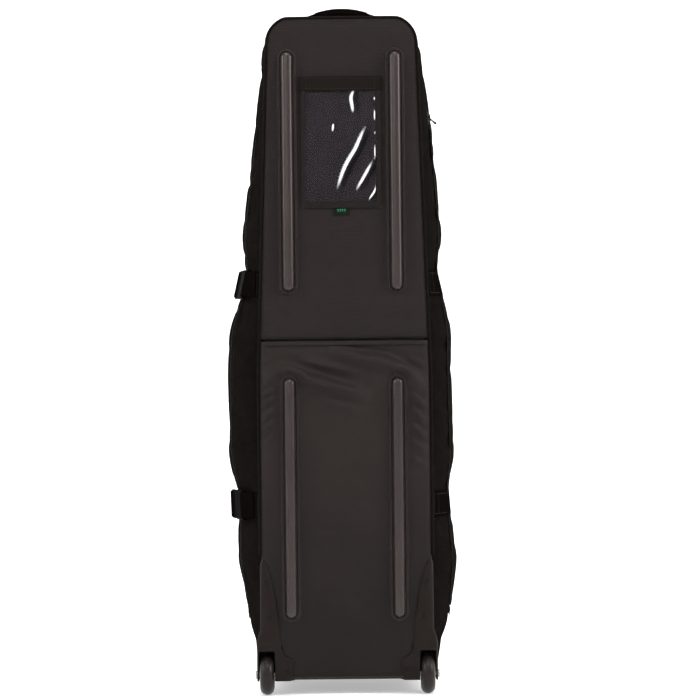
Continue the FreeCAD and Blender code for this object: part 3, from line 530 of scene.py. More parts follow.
TAPE = cloth_material("zip_tape", (0.0048, 0.0040, 0.0037), 1.0 * MM, 0.85, 0.0, "twill", 0.5, gloss=0.0)
TAG = cloth_material("tag", (0.006, 0.008, 0.006), 0.5 * MM, 0.8, 0.1, "twill", 0.4, gloss=0.05, **FLAT)
GREEN = cloth_material("green_thread", (0.03, 0.34, 0.14), 0.4 * MM, 0.6, 0.3, "ribbed", 0.3, use_uv=False)
THREAD = cloth_material("thread", (0.016, 0.0135, 0.0125), 0.4 * MM, 0.6, 0.3, "ribbed", 0.3, use_uv=False)
RAIL = moulded_material("rail_plastic", (0.021, 0.0158, 0.0145), 0.34, 700.0, 0.10, gloss=0.55)
# The flange is the same moulded plastic as the ridge; its darker base colour is painted shade, its lower
# gloss and higher roughness are not.
SHADED_FLANGE = moulded_material("rail_flange_shaded", (0.0135, 0.0102, 0.0094), 0.5, 700.0, 0.12, gloss=0.3)
HOUSING = moulded_material("housing_plastic", (0.0108, 0.0078, 0.0067), 0.45, 620.0, 0.2, gloss=0.13)
BUCKLE = moulded_material("buckle_plastic", (0.0036, 0.0030, 0.0028), 0.42, 900.0, 0.1, gloss=0.002)
BASE = moulded_material("moulded_base", (0.0085, 0.0075, 0.007), 0.6, 500.0, 0.3)
RUBBER = moulded_material("foot_rubber", (0.018, 0.017, 0.017), 0.75, 800.0, 0.2)
URETHANE = moulded_material("wheel_urethane", (0.0085, 0.0064, 0.0058), 0.36, 500.0, 0.08, gloss=0.28)
HUB = moulded_material("hub_plastic", (0.020, 0.019, 0.019), 0.45, 900.0, 0.1)
CORD = moulded_material("pull_cord", (0.016, 0.015, 0.015), 0.55, 900.0, 0.2)
COIL = moulded_material("zip_coil", (0.009, 0.0085, 0.008), 0.5, 1200.0, 0.05, gloss=0.03)
ENAMEL = metal_material("zip_metal", (0.05, 0.05, 0.05), 0.35)
STEEL = metal_material("axle_steel", (0.45, 0.44, 0.43), 0.3)
SCREW = metal_material("screw_steel", (0.018, 0.016, 0.0155), 0.5)
BEARING = metal_material("bearing_steel", (0.5, 0.5, 0.5), 0.25)
VINYL = vinyl_material()


# ---- the skin of the case ----------------------------------------------------------------------
def tree_of(*names):
    verts, faces = [], []
    for name in names:
        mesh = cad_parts[name].data
        start = len(verts)
        verts += [v.co.copy() for v in mesh.vertices]
        faces += [[start + i for i in p.vertices] for p in mesh.polygons]
    return BVHTree.FromPolygons(verts, faces)


WALLS = tree_of("rear_gusset_left", "rear_gusset_right", "door_gusset_left", "door_gusset_right",
                "door_front", "hood_rear", "hood_front", "foot_tray_left", "foot_tray_right",
                "foot_tray_front", "case_zip_tape", "door_zip_tape")
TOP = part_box("hood_front")[1].z
BASE_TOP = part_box("base_board")[1].z
BACK_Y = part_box("upper_back_panel")[0].y
SEAM_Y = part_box("rear_gusset_left")[0].y
CASE_EDGE_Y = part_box("rear_gusset_left")[1].y
DOOR_EDGE_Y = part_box("door_gusset_left")[0].y
SPLIT_Y = (CASE_EDGE_Y + DOOR_EDGE_Y) / 2
TRAY_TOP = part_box("foot_tray_front")[1].z
DOOR_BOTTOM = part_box("door_front")[0].z
TRAY_ZIP_Z = (TRAY_TOP + DOOR_BOTTOM) / 2
FOOT_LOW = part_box("foot_tray_front")[0].z + 0.6 * MM
RIGHT_ZIP_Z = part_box("main_zip_slider")[0].z - 5 * MM


def strap_height(level):
    """Middle and half width of a strap."""
    low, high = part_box(f"strap_tail_{level}")
    return (low.z + high.z) / 2, (high.z - low.z) / 2


STRAPS = {level: strap_height(level) for level in ("lower", "upper")}

# The skin is felt from a spine inside the case: rows run up the left side, over the hood and down the right.
SPINE_X, SPINE_Y, SPINE_Z = 0.070, 0.040, TOP - 0.090
ROW = 7 * MM
TILTS = np.radians(np.linspace(-69, 50, 110))
REACH = 0.5


def distance_to_wall(start, direction):
    far = start + direction * REACH
    hit = WALLS.ray_cast(Vector(far), Vector(-direction), REACH - 0.04)
    return np.nan if hit[0] is None else REACH - hit[3]


def fill_gaps(line):
    """Replaces what a ray missed, or hit deep inside, by what is beside it."""
    good = np.isfinite(line)
    if good.sum() < 3:
        return np.full_like(line, np.nan)
    index = np.arange(len(line))
    full = np.interp(index, index[good], line[good])
    middle = np.median(np.stack([np.roll(full, k) for k in range(-3, 4)]), 0)
    middle[:3], middle[-3:] = full[:3], full[-3:]
    return np.where(np.abs(full - middle) > 4 * MM, middle, full)


def spine_rows():
    """Row starts and outward angles up the left side, over the hood and down the right side."""
    up = np.arange(BASE_TOP + 2 * MM, SPINE_Z, ROW)
    turn = np.linspace(math.pi, math.pi / 2, 25)[1:-1]
    over = np.linspace(-SPINE_X, 0, 12)
    left = [(-SPINE_X, z, math.pi) for z in up] + [(-SPINE_X, SPINE_Z, a) for a in turn]
    left += [(x, SPINE_Z, math.pi / 2) for x in over]
    return left + [(-x, z, math.pi - a) for x, z, a in left[-2::-1]]


def skin_grid():
    rows = spine_rows()
    start = np.array([(x, SPINE_Y, z) for x, z, _ in rows])
    angle = np.array([a for _, _, a in rows])
    direction = np.stack([
        np.cos(TILTS)[None] * np.cos(angle)[:, None],
        np.broadcast_to(np.sin(TILTS)[None], (len(rows), len(TILTS))),
        np.cos(TILTS)[None] * np.sin(angle)[:, None]], -1)
    distance = np.array([[distance_to_wall(s, d) for d in line] for s, line in zip(start, direction)])
    reach = distance * np.cos(TILTS)
    reach = np.array([fill_gaps(line) for line in reach])
    reach = np.array([fill_gaps(line) for line in reach.T]).T
    distance = blur(blur(reach, 1.6, 0), 1.0, 1) / np.cos(TILTS)
    return start[:, None] + direction * distance[..., None]


SKIN = skin_grid()
SKIN_Z = SKIN[:, len(TILTS) // 2, 2]
HALF_ROWS = len(SKIN) // 2


def skin_strip(y_start, y_end, cols, offset=0.0, rows=slice(None)):
    """Part of the skin between two depths, moved out by offset. y_end None runs to the front seam."""
    out = []
    for line in SKIN[rows]:
        y = np.maximum.accumulate(line[:, 1] + np.arange(len(line)) * 1e-9)
        if y_end is None:
            first = np.array([np.interp(y_start, y, column) for column in line.T])
            out.append(evenly(np.vstack([first, line[y > y_start]]), cols))
        else:
            wanted = np.linspace(y_start, y_end, cols)
            x, z = (np.interp(wanted, y, line[:, i]) for i in (0, 2))
            out.append(np.stack([x, wanted, z], 1))
    out = np.array(out)
    return out + outward_normals(out) * offset


def level_line(z, samples=420):
    """The outline of the walls at one height, from the left back seam round the front to the right one."""
    turns = np.radians(np.linspace(-131, 131, samples))
    start = np.array([0, 0, z])
    direction = np.stack([np.sin(turns), np.cos(turns), np.zeros(samples)], 1)
    distance = fill_gaps(np.array([distance_to_wall(start, d) for d in direction]))
    distance = blur(distance[None], 2.0, 1)[0]
    return start + direction * distance[:, None]


def cut_line(line, y_left, y_right, count):
    """The part of an outline between a depth on the left and one on the right, evenly spaced."""
    middle = len(line) // 2
    left, right = line[:middle], line[middle:]
    first = np.array([np.interp(y_left, left[:, 1], left[:, i]) for i in range(3)])
    last = np.array([np.interp(y_right, right[::-1, 1], right[::-1, i]) for i in range(3)])
    path = np.vstack([first, left[left[:, 1] > y_left], right[right[:, 1] > y_right], last])
    return evenly(path, count)


def lifted(points, offset):
    """A band round the case, moved level outward."""
    tangent = np.gradient(points, axis=1)
    outward = np.stack([-tangent[..., 1], tangent[..., 0], np.zeros(points.shape[:2])], -1)
    outward /= np.maximum(np.linalg.norm(outward, axis=2, keepdims=True), 1e-9)
    return points + outward * offset


# ---- cloth -------------------------------------------------------------------------------------
def settle(points, pins, out, pressure=3.0, slack=0.02, cap=8 * MM, frames=24, gravity=0.0, bending=0.4):
    """Lets a sheet with pinned seams wrinkle and swell, and returns its points; cap limits each move."""
    obj = grid_object("settling", points, NYLON, out)
    group = obj.vertex_groups.new(name="pins")
    for i, weight in enumerate(np.clip(pins, 0, 1).ravel()):
        group.add([i], float(weight), "REPLACE")
    cloth = obj.modifiers.new("cloth", "CLOTH")
    s = cloth.settings
    s.quality = 5
    s.mass = 0.05
    s.tension_stiffness = s.compression_stiffness = 12
    s.shear_stiffness = 4
    s.bending_stiffness = bending
    s.air_damping = 2
    s.use_pressure = True
    s.uniform_pressure_force = pressure
    s.shrink_min = -slack
    s.vertex_group_mass = "pins"
    s.pin_stiffness = 1
    s.effector_weights.gravity = gravity
    cloth.collision_settings.use_collision = False
    cloth.collision_settings.use_self_collision = False
    scene = bpy.context.scene
    for number in range(1, frames + 1):
        scene.frame_set(number)
    graph = bpy.context.evaluated_depsgraph_get()
    mesh = obj.evaluated_get(graph).data
    moved = np.empty(len(mesh.vertices) * 3)
    mesh.vertices.foreach_get("co", moved)
    scene.frame_set(1)
    bpy.data.objects.remove(obj)
    move = moved.reshape(points.shape) - points
    size = np.linalg.norm(move, axis=2, keepdims=True)
    print("settled", round(float(size.max()) / MM, 1), "mm", round(float(size.mean()) / MM, 2), "mm mean")
    return points + move * (cap * np.tanh(size / cap) / np.maximum(size, 1e-9))


def edge_pins(rows, cols, width=1, top=True, bottom=True):
    pins = np.zeros((rows, cols))
    pins[:, :width] = pins[:, -width:] = 1
    if bottom:
        pins[:width] = 1
    if top:
        pins[-width:] = 1
    return pins


def strap_pins(z, soft=10 * MM):
    """1 under each strap, falling to 0 a little above and below it."""
    pins = np.zeros(z.shape)
    for middle, half in STRAPS.values():
        pins = np.maximum(pins, 1 - smooth_step((np.abs(z - middle) - half) / soft))
    return pins


# ---- soft walls --------------------------------------------------------------------------------
WALL = 2.6 * MM


def wall_piece(name, points, material, body, replaced, out=INSIDE):
    obj = grid_object(name, points, material, out)
    thicken(obj, WALL, levels=1)
    return attach(obj, body, "case_fabric", *replaced)


def rear_gusset():
    points = skin_strip(SEAM_Y - 4 * MM, CASE_EDGE_Y, 13)
    z = points[..., 2]
    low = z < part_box("wheel_housing_left")[0].z + 76 * MM
    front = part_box("wheel_housing_left")[1].y + 2 * MM
    share = np.linspace(0, 1, points.shape[1])[None]
    tucked = front + (CASE_EDGE_Y - front) * share
    points[..., 1] = np.where(low, tucked, points[..., 1])
    pins = np.maximum(edge_pins(*points.shape[:2]), strap_pins(z))
    pins[low] = 1
    points = settle(points, pins, INSIDE, pressure=2.5, slack=0.05, cap=6 * MM, gravity=0.4)
    return wall_piece("rear_gusset", points, NYLON, "case",
                      ["rear_gusset_left", "hood_rear", "rear_gusset_right"])


def door_rows():
    """Rows of the skin above the foot tray's zip."""
    keep = np.flatnonzero(SKIN_Z > DOOR_BOTTOM)
    return slice(keep[0] - 1, keep[-1] + 2)


def door_gusset():
    points = skin_strip(DOOR_EDGE_Y, None, 27, rows=door_rows())
    for end in (0, -1):
        points[end, :, 2] = DOOR_BOTTOM
    z = points[..., 2]
    pins = np.maximum(edge_pins(*points.shape[:2]), strap_pins(z))
    points = settle(points, pins, INSIDE, pressure=2.4, slack=0.045, cap=5.5 * MM, gravity=0.5)
    return points, wall_piece("door_gusset", points, NYLON, "door",
                              ["door_gusset_left", "door_gusset_right", "hood_front"])


def panel_grid(left, right, z, cols):
    """Rows at heights z, each from left(z) to right(z), as x and z."""
    share = np.linspace(0, 1, cols)
    x = left[:, None] + (right - left)[:, None] * share[None]
    return x, np.broadcast_to(z[:, None], x.shape)


def border_distance(x, z):
    """Distance of each grid point from the grid's edge, in the plane of the panel."""
    edge = np.concatenate([np.stack([g[0], h[0]], 1) for g, h in ((x, z), (x[::-1], z[::-1]), (x.T, z.T),
                                                                  (x.T[::-1], z.T[::-1]))])
    flat = np.stack([x.ravel(), z.ravel()], 1)
    nearest = np.full(len(flat), np.inf)
    for a, b in zip(edge, np.roll(edge, -1, 0)):
        step = b - a
        size = step @ step
        if 0 < size < (30 * MM) ** 2:
            t = np.clip((flat - a) @ step / size, 0, 1)
            nearest = np.minimum(nearest, np.linalg.norm(flat - a - t[:, None] * step, axis=1))
    return nearest.reshape(x.shape)


def close_rows(low, high, pitch, round_low=0.0, round_high=0.0):
    """Heights from low to high, closer together in the end stretches where the corners are round."""
    parts = [np.array([low])]
    if round_low:
        parts.append(low + round_low * (1 - np.cos(np.linspace(0, math.pi / 2, 10)))[1:])
    start = parts[-1][-1]
    stop = high - round_high
    parts.append(np.linspace(start, stop, max(2, int((stop - start) / pitch)))[1:])
    if round_high:
        parts.append(stop + round_high * np.sin(np.linspace(0, math.pi / 2, 14))[1:])
    return np.concatenate(parts)


def door_front(seam):
    """Front of the case, inside the seam that ends the gusset."""
    half = len(seam) // 2
    left, right = seam[:half + 1], seam[::-1][:half + 1]
    z = close_rows(DOOR_BOTTOM, seam[half, 2] - 0.3 * MM, 9 * MM, round_high=62 * MM)
    rise = [np.maximum.accumulate(s[:, 2] + np.arange(len(s)) * 1e-8) for s in (left, right)]
    x, grid_z = panel_grid(np.interp(z, rise[0], left[:, 0]), np.interp(z, rise[1], right[:, 0]), z, 43)
    fronts = tree_of("door_front", "hood_front", "foot_tray_front", "door_gusset_left", "door_gusset_right")
    y = np.array([[front_depth(fronts, a, b) for a, b in zip(p, q)] for p, q in zip(x, grid_z)])
    y = np.array([fill_gaps(line) for line in y])
    y = blur(blur(y, 2.0, 0), 1.0, 1)
    y[:, 0], y[:, -1] = np.interp(z, rise[0], left[:, 1]), np.interp(z, rise[1], right[:, 1])
    points = np.stack([x, y, grid_z], -1)
    pins = np.maximum(edge_pins(*x.shape), strap_pins(grid_z))
    low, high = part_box("pocket_pouch")
    behind = (grid_z > low.z) & (grid_z < high.z) & (x > low.x) & (x < high.x)
    pins[behind] = 1
    points = settle(points, pins, INSIDE, pressure=3.0, slack=0.03, cap=9 * MM, gravity=0.4)
    return wall_piece("door_front_panel", points, NYLON, "door", ["door_front"])


def front_depth(tree, x, z):
    hit = tree.ray_cast(Vector((x, 0.6, z)), Vector((0, -1, 0)), 0.6)
    return np.nan if hit[0] is None else hit[0].y


def foot_tray():
    levels = np.linspace(FOOT_LOW, TRAY_TOP - 0.5 * MM, 17)
    points = np.array([cut_line(level_line(z), CASE_EDGE_Y, CASE_EDGE_Y, 110) for z in levels])
    pins = edge_pins(*points.shape[:2])
    points = settle(points, pins, (0, 0, 0.08), pressure=2.0, slack=0.02, cap=4 * MM)
    return wall_piece("foot_tray_wrap", points, NYLON, "case",
                      ["foot_tray_left", "foot_tray_front", "foot_tray_right"], (0, 0, 0.08))


# ---- back of the case --------------------------------------------------------------------------
def node_outline(name, z, inset=0.0):
    """Left and right edges of a CAD panel at heights z."""
    tree = tree_of(name)
    low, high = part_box(name)
    edges = []
    for side in (LEFT, RIGHT):
        line = []
        for height in z:
            found = np.nan
            for share in (0.75, 0.5, 0.25, 0.9):
                y = low.y + (high.y - low.y) * share
                hit = tree.ray_cast(Vector((side * 0.5, y, height)), Vector((-side, 0, 0)), 1.0)
                if hit[0] is not None:
                    found = hit[0].x if not np.isfinite(found) else side * max(side * found, side * hit[0].x)
            line.append(found - side * inset)
        edges.append(fill_gaps(np.array(line)))
    return edges


def line_distance(x, z, path):
    """Distance to a polyline, how far along it the nearest point is (0 to 1) and which side of it."""
    start = running_length(path)
    lengths = np.diff(start)
    best = np.full(x.shape, np.inf)
    share, side = np.zeros(x.shape), np.zeros(x.shape)
    for a, b, before, size in zip(path, path[1:], start, lengths):
        step = (b - a) / size
        t = np.clip((x - a[0]) * step[0] + (z - a[1]) * step[1], 0, size)
        dx, dz = x - a[0] - t * step[0], z - a[1] - t * step[1]
        gap = np.hypot(dx, dz)
        near = gap < best
        best = np.where(near, gap, best)
        share = np.where(near, (before + t) / start[-1], share)
        side = np.where(near, dx * -step[1] + dz * step[0], side)
    return best, share, side


def fold(x, z, path, height, width, lean=0.0):
    """A soft ridge along a path, tapering to both ends, with a valley beside it on the lean side."""
    steps = max(3, 24 // (len(path) - 1))
    gap, share, side = line_distance(x, z, curve_through(path, steps))
    taper = np.sin(np.clip(share, 0, 1) * math.pi) ** 0.6
    ridge = np.exp(-(gap / width) ** 2)
    beyond = np.maximum(gap - np.abs(side), 0)
    valley = np.exp(-((side - lean * width * 1.5) / width) ** 2 - (beyond / width) ** 2)
    return taper * height * (ridge - 0.6 * abs(lean) * valley)


def padded_panel(node, cols, pitch, relief, round_low, round_high):
    """The face of a padded panel: soft rolled border and sculpted relief."""
    low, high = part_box(node)
    z = close_rows(low.z + 0.4 * MM, high.z - 0.4 * MM, pitch, round_low, round_high)
    left, right = node_outline(node, z, -1.4 * MM)
    x, grid_z = panel_grid(left, right, z, cols)
    gap = border_distance(x, grid_z)
    dip = 4.2 * MM * (1 - smooth_step(gap / (11 * MM)) ** 0.6)
    y = BACK_Y + dip - relief(x, grid_z) * smooth_step(gap / (14 * MM))
    points = np.stack([x, y, grid_z], -1)
    crown = smooth_step((grid_z - (TOP - 61 * MM)) / (55 * MM))
    points[..., 2] += 3.2 * MM * crown
    points[..., 0] *= 1 + 0.018 * crown
    return points


def folded(high, x, z, folds, depth, lean):
    """A relief with folds added, each a path with its height and width in millimetres."""
    for path, height, width in folds:
        high = high + fold(x, z, path, height * MM * depth, width * MM, lean)
    return high


def upper_relief(x, z):
    """Gentle quilting of the upper panel: fullness in the field, puckers from the corners."""
    high = 0.9 * MM * noise(x * 16, z * 12, 3) + 0.5 * MM * noise(x * 48, z * 30, 5)
    return folded(high, x, z, UPPER_FOLDS, 1.0, 0.6)


UPPER_FOLDS = [
    ([(-0.120, 1.262), (-0.118, 1.236), (-0.126, 1.205)], 1.6, 6),
    ([(-0.100, 1.275), (-0.094, 1.250), (-0.098, 1.226)], 1.3, 5),
    ([(0.118, 1.262), (0.114, 1.235), (0.122, 1.208)], 1.6, 6),
    ([(0.096, 1.274), (0.090, 1.248), (0.093, 1.222)], 1.2, 5),
    ([(-0.142, 1.180), (-0.134, 1.130), (-0.138, 1.080)], 1.2, 7),
    ([(0.140, 1.150), (0.132, 1.100), (0.137, 1.040)], 1.2, 7),
    ([(-0.070, 0.905), (-0.030, 0.894), (0.020, 0.899), (0.066, 0.890)], 1.4, 8),
    ([(-0.064, 0.700), (-0.020, 0.716), (0.030, 0.708), (0.070, 0.722)], 1.3, 9),
    ([(-0.152, 0.680), (-0.140, 0.668), (-0.124, 0.655)], 2.4, 5),
    ([(0.148, 0.742), (0.136, 0.722), (0.124, 0.700)], 1.2, 6),
]

FOLD_DEPTH = 4.2
LOWER_FOLDS = [
    # the two drapes hanging between the rails
    ([(-0.158, 0.597), (-0.135, 0.614), (-0.107, 0.617), (-0.071, 0.604), (-0.031, 0.591), (0.024, 0.574),
      (0.047, 0.560)], 4.6, 13),
    ([(-0.031, 0.657), (0.024, 0.644), (0.079, 0.632), (0.121, 0.612), (0.150, 0.581)], 4.4, 13),
    ([(-0.090, 0.640), (-0.052, 0.632), (-0.010, 0.622), (0.040, 0.612)], 1.8, 8),
    ([(-0.060, 0.566), (-0.010, 0.552), (0.044, 0.532)], 1.6, 10),
    # short creases beside the left rail
    ([(-0.158, 0.570), (-0.147, 0.577), (-0.134, 0.584)], 2.2, 4.5),
    ([(-0.159, 0.552), (-0.147, 0.560), (-0.134, 0.569)], 2.2, 4.5),
    ([(-0.159, 0.527), (-0.147, 0.536), (-0.133, 0.547)], 2.3, 5),
    ([(-0.159, 0.503), (-0.147, 0.512), (-0.132, 0.524)], 2.1, 5),
    ([(-0.159, 0.474), (-0.147, 0.484), (-0.132, 0.494)], 1.6, 5),
    # short creases beside the right rail
    ([(0.124, 0.574), (0.138, 0.562), (0.152, 0.546)], 2.4, 5),
    ([(0.124, 0.548), (0.138, 0.535), (0.153, 0.518)], 2.4, 5),
    ([(0.124, 0.516), (0.140, 0.502), (0.156, 0.486)], 1.9, 5.5),
    ([(0.124, 0.486), (0.140, 0.474), (0.156, 0.462)], 1.6, 5.5),
    ([(0.124, 0.452), (0.140, 0.442), (0.156, 0.432)], 1.4, 6),
    # corners under the seam
    ([(-0.158, 0.640), (-0.146, 0.634), (-0.132, 0.640)], 1.6, 5),
    ([(0.118, 0.644), (0.136, 0.634), (0.154, 0.622)], 1.8, 5),
    # slack near the wheels
    ([(0.128, 0.240), (0.146, 0.228), (0.159, 0.206)], 1.7, 6),
    ([(0.124, 0.196), (0.140, 0.176), (0.160, 0.168)], 1.7, 6),
    ([(-0.130, 0.236), (-0.146, 0.222), (-0.160, 0.204)], 1.4, 6),
    ([(-0.060, 0.180), (-0.020, 0.168), (0.030, 0.176)], 1.2, 10),
    ([(0.010, 0.360), (0.044, 0.346), (0.072, 0.350)], 0.9, 12),
    ([(-0.070, 0.300), (-0.036, 0.292), (0.000, 0.298)], 0.8, 12),
]


def rail_clearance(x, z):
    """0 beside the lower rails and under the housings, where the panel is held flat, 1 away from them."""
    share = np.ones_like(x)
    for side in WORD.values():
        low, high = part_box(f"skid_rail_lower_{side}")
        middle = (low.x + high.x) / 2
        away = np.hypot(x - middle, z - np.clip(z, low.z + RAIL_HALF, high.z - RAIL_HALF))
        share = np.minimum(share, smooth_step((away - 20 * MM) / (14 * MM)))
    arms = np.maximum(smooth_step((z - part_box("wheel_housing_left")[1].z - 8 * MM) / (30 * MM)),
                      smooth_step((92 * MM - np.abs(x)) / (20 * MM)))
    return np.minimum(share, arms)


def lower_relief(x, z):
    """Drapes and creases of the slack lower panel."""
    high = 1.0 * MM * noise(x * 11, z * 9, 7) + 0.45 * MM * noise(x * 36, z * 24, 9)
    high = folded(high, x, z, LOWER_FOLDS, FOLD_DEPTH, 0.7)
    return high * (0.12 + 0.88 * rail_clearance(x, z))


def skirt(points, depth, steps=3):
    """Adds rows and columns round a grid that run straight back to a depth."""
    shares = np.linspace(0, 1, steps + 1)[1:]
    for axis in (1, 0):
        for end in (0, -1):
            edge = np.take(points, end, axis)
            lines = [edge + [0, 1, 0] * (depth - edge[:, 1:2]) * share for share in shares]
            added = np.stack(lines[::-1] if end == 0 else lines, axis)
            points = np.concatenate([added, points] if end == 0 else [points, added], axis)
    return points


def closed_panel(name, points, material, slot, replaced):
    """A grid panel with its skirt, closed at the back."""
    obj = grid_object(name, skirt(points, PANEL_BACK_Y), material, (0, 1, 0.6))
    thicken(obj, 2.0 * MM)
    attach(obj, "case", slot, replaced)


PANEL_BACK_Y = -0.1392


def back_panels():
    upper = padded_panel("upper_back_panel", 61, 5.5 * MM, upper_relief, 0.0, 64 * MM)
    closed_panel("upper_back", upper, BALLISTIC, "ballistic_weave", "upper_back_panel")
    lower = padded_panel("lower_back_panel", 71, 4.5 * MM, lower_relief, 14 * MM, 0.0)
    closed_panel("lower_back", lower, COATED, "coated_fabric", "lower_back_panel")
    hem(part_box("lower_back_panel")[1].z)


def hem(top):
    """The folded strip along the top of the lower panel, with two rows of stitches."""
    z = np.linspace(top - 9.5 * MM, top - 0.2 * MM, 9)
    left, right = node_outline("lower_back_panel", z, 0.3 * MM)
    x, grid_z = panel_grid(left, right, z, 90)
    gap = np.minimum(grid_z - z[0], z[-1] - grid_z)
    side = np.minimum(x - left[:, None], right[:, None] - x)
    y = BACK_Y - 2.6 * MM * smooth_step((gap + 0.6 * MM) / (2.2 * MM))
    y += 4.0 * MM * (1 - smooth_step(side / (10 * MM))) - 0.3 * MM * noise(x * 60, grid_z * 20, 11)
    points = np.stack([x, y, grid_z], -1)
    obj = grid_object("lower_hem", points, COATED, (0, 1, 0.6))
    thicken(obj, 1.4 * MM)
    attach(obj, "case", "coated_fabric")
    runs = [(points[k][3:-3] + [0, -0.35 * MM, 0], (0, -1, 0)) for k in (2, 6)]
    attach(stitches("hem_stitches", runs, THREAD, 3.6 * MM, 0.7 * MM), "case", "coated_fabric")


PIPING_Y = -0.1460


def piping():
    """Corded edging round the back panels."""
    low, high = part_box("back_piping")
    z = close_rows(low.z + 1 * MM, high.z - 2.2 * MM, 8 * MM, 0, 66 * MM)
    left, right = node_outline("back_piping", z, 2.6 * MM)
    x = np.linspace(left[-1], right[-1], 40)[1:-1]
    crown = z[-1] + 0.4 * MM * (1 - (x / left[-1]) ** 2)
    path = np.stack([np.concatenate([left, x, right[::-1]]), np.concatenate([z, crown, z[::-1]])], 1)
    path = np.insert(blur(path, 1.2, 0), 1, PIPING_Y, axis=1)
    cord = tube_mesh("back_piping_cord", path, 2.9 * MM, PIPING, 12)
    attach(cord, "case", "piping", "back_piping")


def seam_cord(name, path, radius, body, sides=10):
    attach(tube_mesh(name, path, radius, PIPING, sides), body, "piping")


# ---- skid rails --------------------------------------------------------------------------------
RAIL_HALF = 18 * MM
# Heights of a rail in millimetres at distances from its middle line: the ridge, then the sewn flange.
RIDGE = [(0.0, 12.6), (2.4, 12.5), (4.6, 12.1), (6.6, 11.4), (8.2, 10.3), (9.4, 8.7), (10.2, 6.9),
         (10.7, 4.6), (11.0, 2.4)]
SEWN = [(11.4, 1.2), (11.9, 1.0), (12.3, 1.6), (12.8, 2.3), (13.4, 2.5), (14.6, 2.5), (15.2, 2.3),
        (15.6, 2.2), (16.1, 2.6), (16.6, 2.9), (17.1, 2.8), (17.5, 2.4), (17.8, 1.8), (17.95, 1.0),
        (18.0, -0.2)]
STITCH_LINE = 14.6 * MM


def stadium(r, low, high, x, arc=18, side=56):
    """A loop at distance r from the straight middle line of a rail."""
    points = []
    for height in np.linspace(low, high, side):
        points.append((x + r, height))
    for turn in np.linspace(0, math.pi, arc + 2)[1:-1]:
        points.append((x + r * math.cos(turn), high + r * math.sin(turn)))
    for height in np.linspace(high, low, side):
        points.append((x - r, height))
    for turn in np.linspace(math.pi, 2 * math.pi, arc + 2)[1:-1]:
        points.append((x + r * math.cos(turn), low + r * math.sin(turn)))
    return np.array(points)


def skid_rail(which, side, narrow):
    """A moulded rail: smooth raised ridge, groove, flat flange and rolled edge; returns its sewing line."""
    node = f"skid_rail_{which}_{WORD[side]}"
    low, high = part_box(node)
    x = (low.x + high.x) / 2
    bottom, top = low.z + RAIL_HALF, high.z - RAIL_HALF

    def level_loop(r, height):
        loop = stadium(r, bottom, top, x)
        return np.stack([loop[:, 0], np.full(len(loop), BACK_Y - height), loop[:, 1]], 1)

    profile = [(max(r * narrow, 0.02), height) for r, height in RIDGE] + SEWN
    rings = np.array([level_loop(r * MM, height * MM) for r, height in profile[::-1]])
    rows, cols = rings.shape[:2]
    faces = grid_faces(rows, cols, ring=True).tolist()
    faces += [list(range((rows - 1) * cols, rows * cols)), list(range(cols))[::-1]]
    obj = mesh_object(f"rail_{which}_{WORD[side]}", rings.reshape(-1, 3), faces, RAIL)
    # the flange rows get the flange material, whose darker colour is painted shade
    obj.data.materials.append(SHADED_FLANGE)
    for face in obj.data.polygons[:(len(SEWN) - 1) * cols]:
        face.material_index = 1
    attach(obj, "case", "rail_plastic", node)
    path = level_loop(STITCH_LINE, 2.55 * MM)
    return np.vstack([path, path[:1]])


def rails():
    runs = []
    for which, narrow in (("upper", 1.0), ("lower", 0.96)):
        for side in (LEFT, RIGHT):
            runs.append((skid_rail(which, side, narrow), (0, -1, 0)))
    attach(stitches("rail_stitches", runs, THREAD, 4.2 * MM, 0.8 * MM), "case", "rail_plastic")


# ---- luggage-card pocket -----------------------------------------------------------------------
def rounded_loop(low, high, radius, count=14):
    """A rectangle with round corners as (x, z) points, anticlockwise from the bottom right."""
    right, top, left, bottom = high[0] - radius, high[1] - radius, low[0] + radius, low[1] + radius
    points = []
    for quarter, (cx, cz) in enumerate(((right, bottom), (right, top), (left, top), (left, bottom)), -1):
        for turn in np.linspace(quarter, quarter + 1, count) * math.pi / 2:
            points.append((cx + radius * math.cos(turn), cz + radius * math.sin(turn)))
    return np.array(points)


def frame_band(name, outer, inner, profile, y, material, slot, replaced, wobble, seed):
    """A closed band between two matching loops, raised by profile, a list of (share, height)."""
    rings = []
    ripple = noise(outer[:, 0] * 90, outer[:, 1] * 90, seed) * wobble
    for share, height in profile:
        loop = outer + (inner - outer) * share
        rings.append(np.stack([loop[:, 0], y - height - ripple * height / 3 / MM, loop[:, 1]], 1))
    rings = np.array(rings)
    obj = mesh_object(name, rings.reshape(-1, 3), closed_faces(*rings.shape[:2]), material)
    return attach(obj, "case", slot, *replaced)


def fine_loop(loop, count):
    return evenly(np.vstack([loop, loop[:1]]), count, endpoint=False)


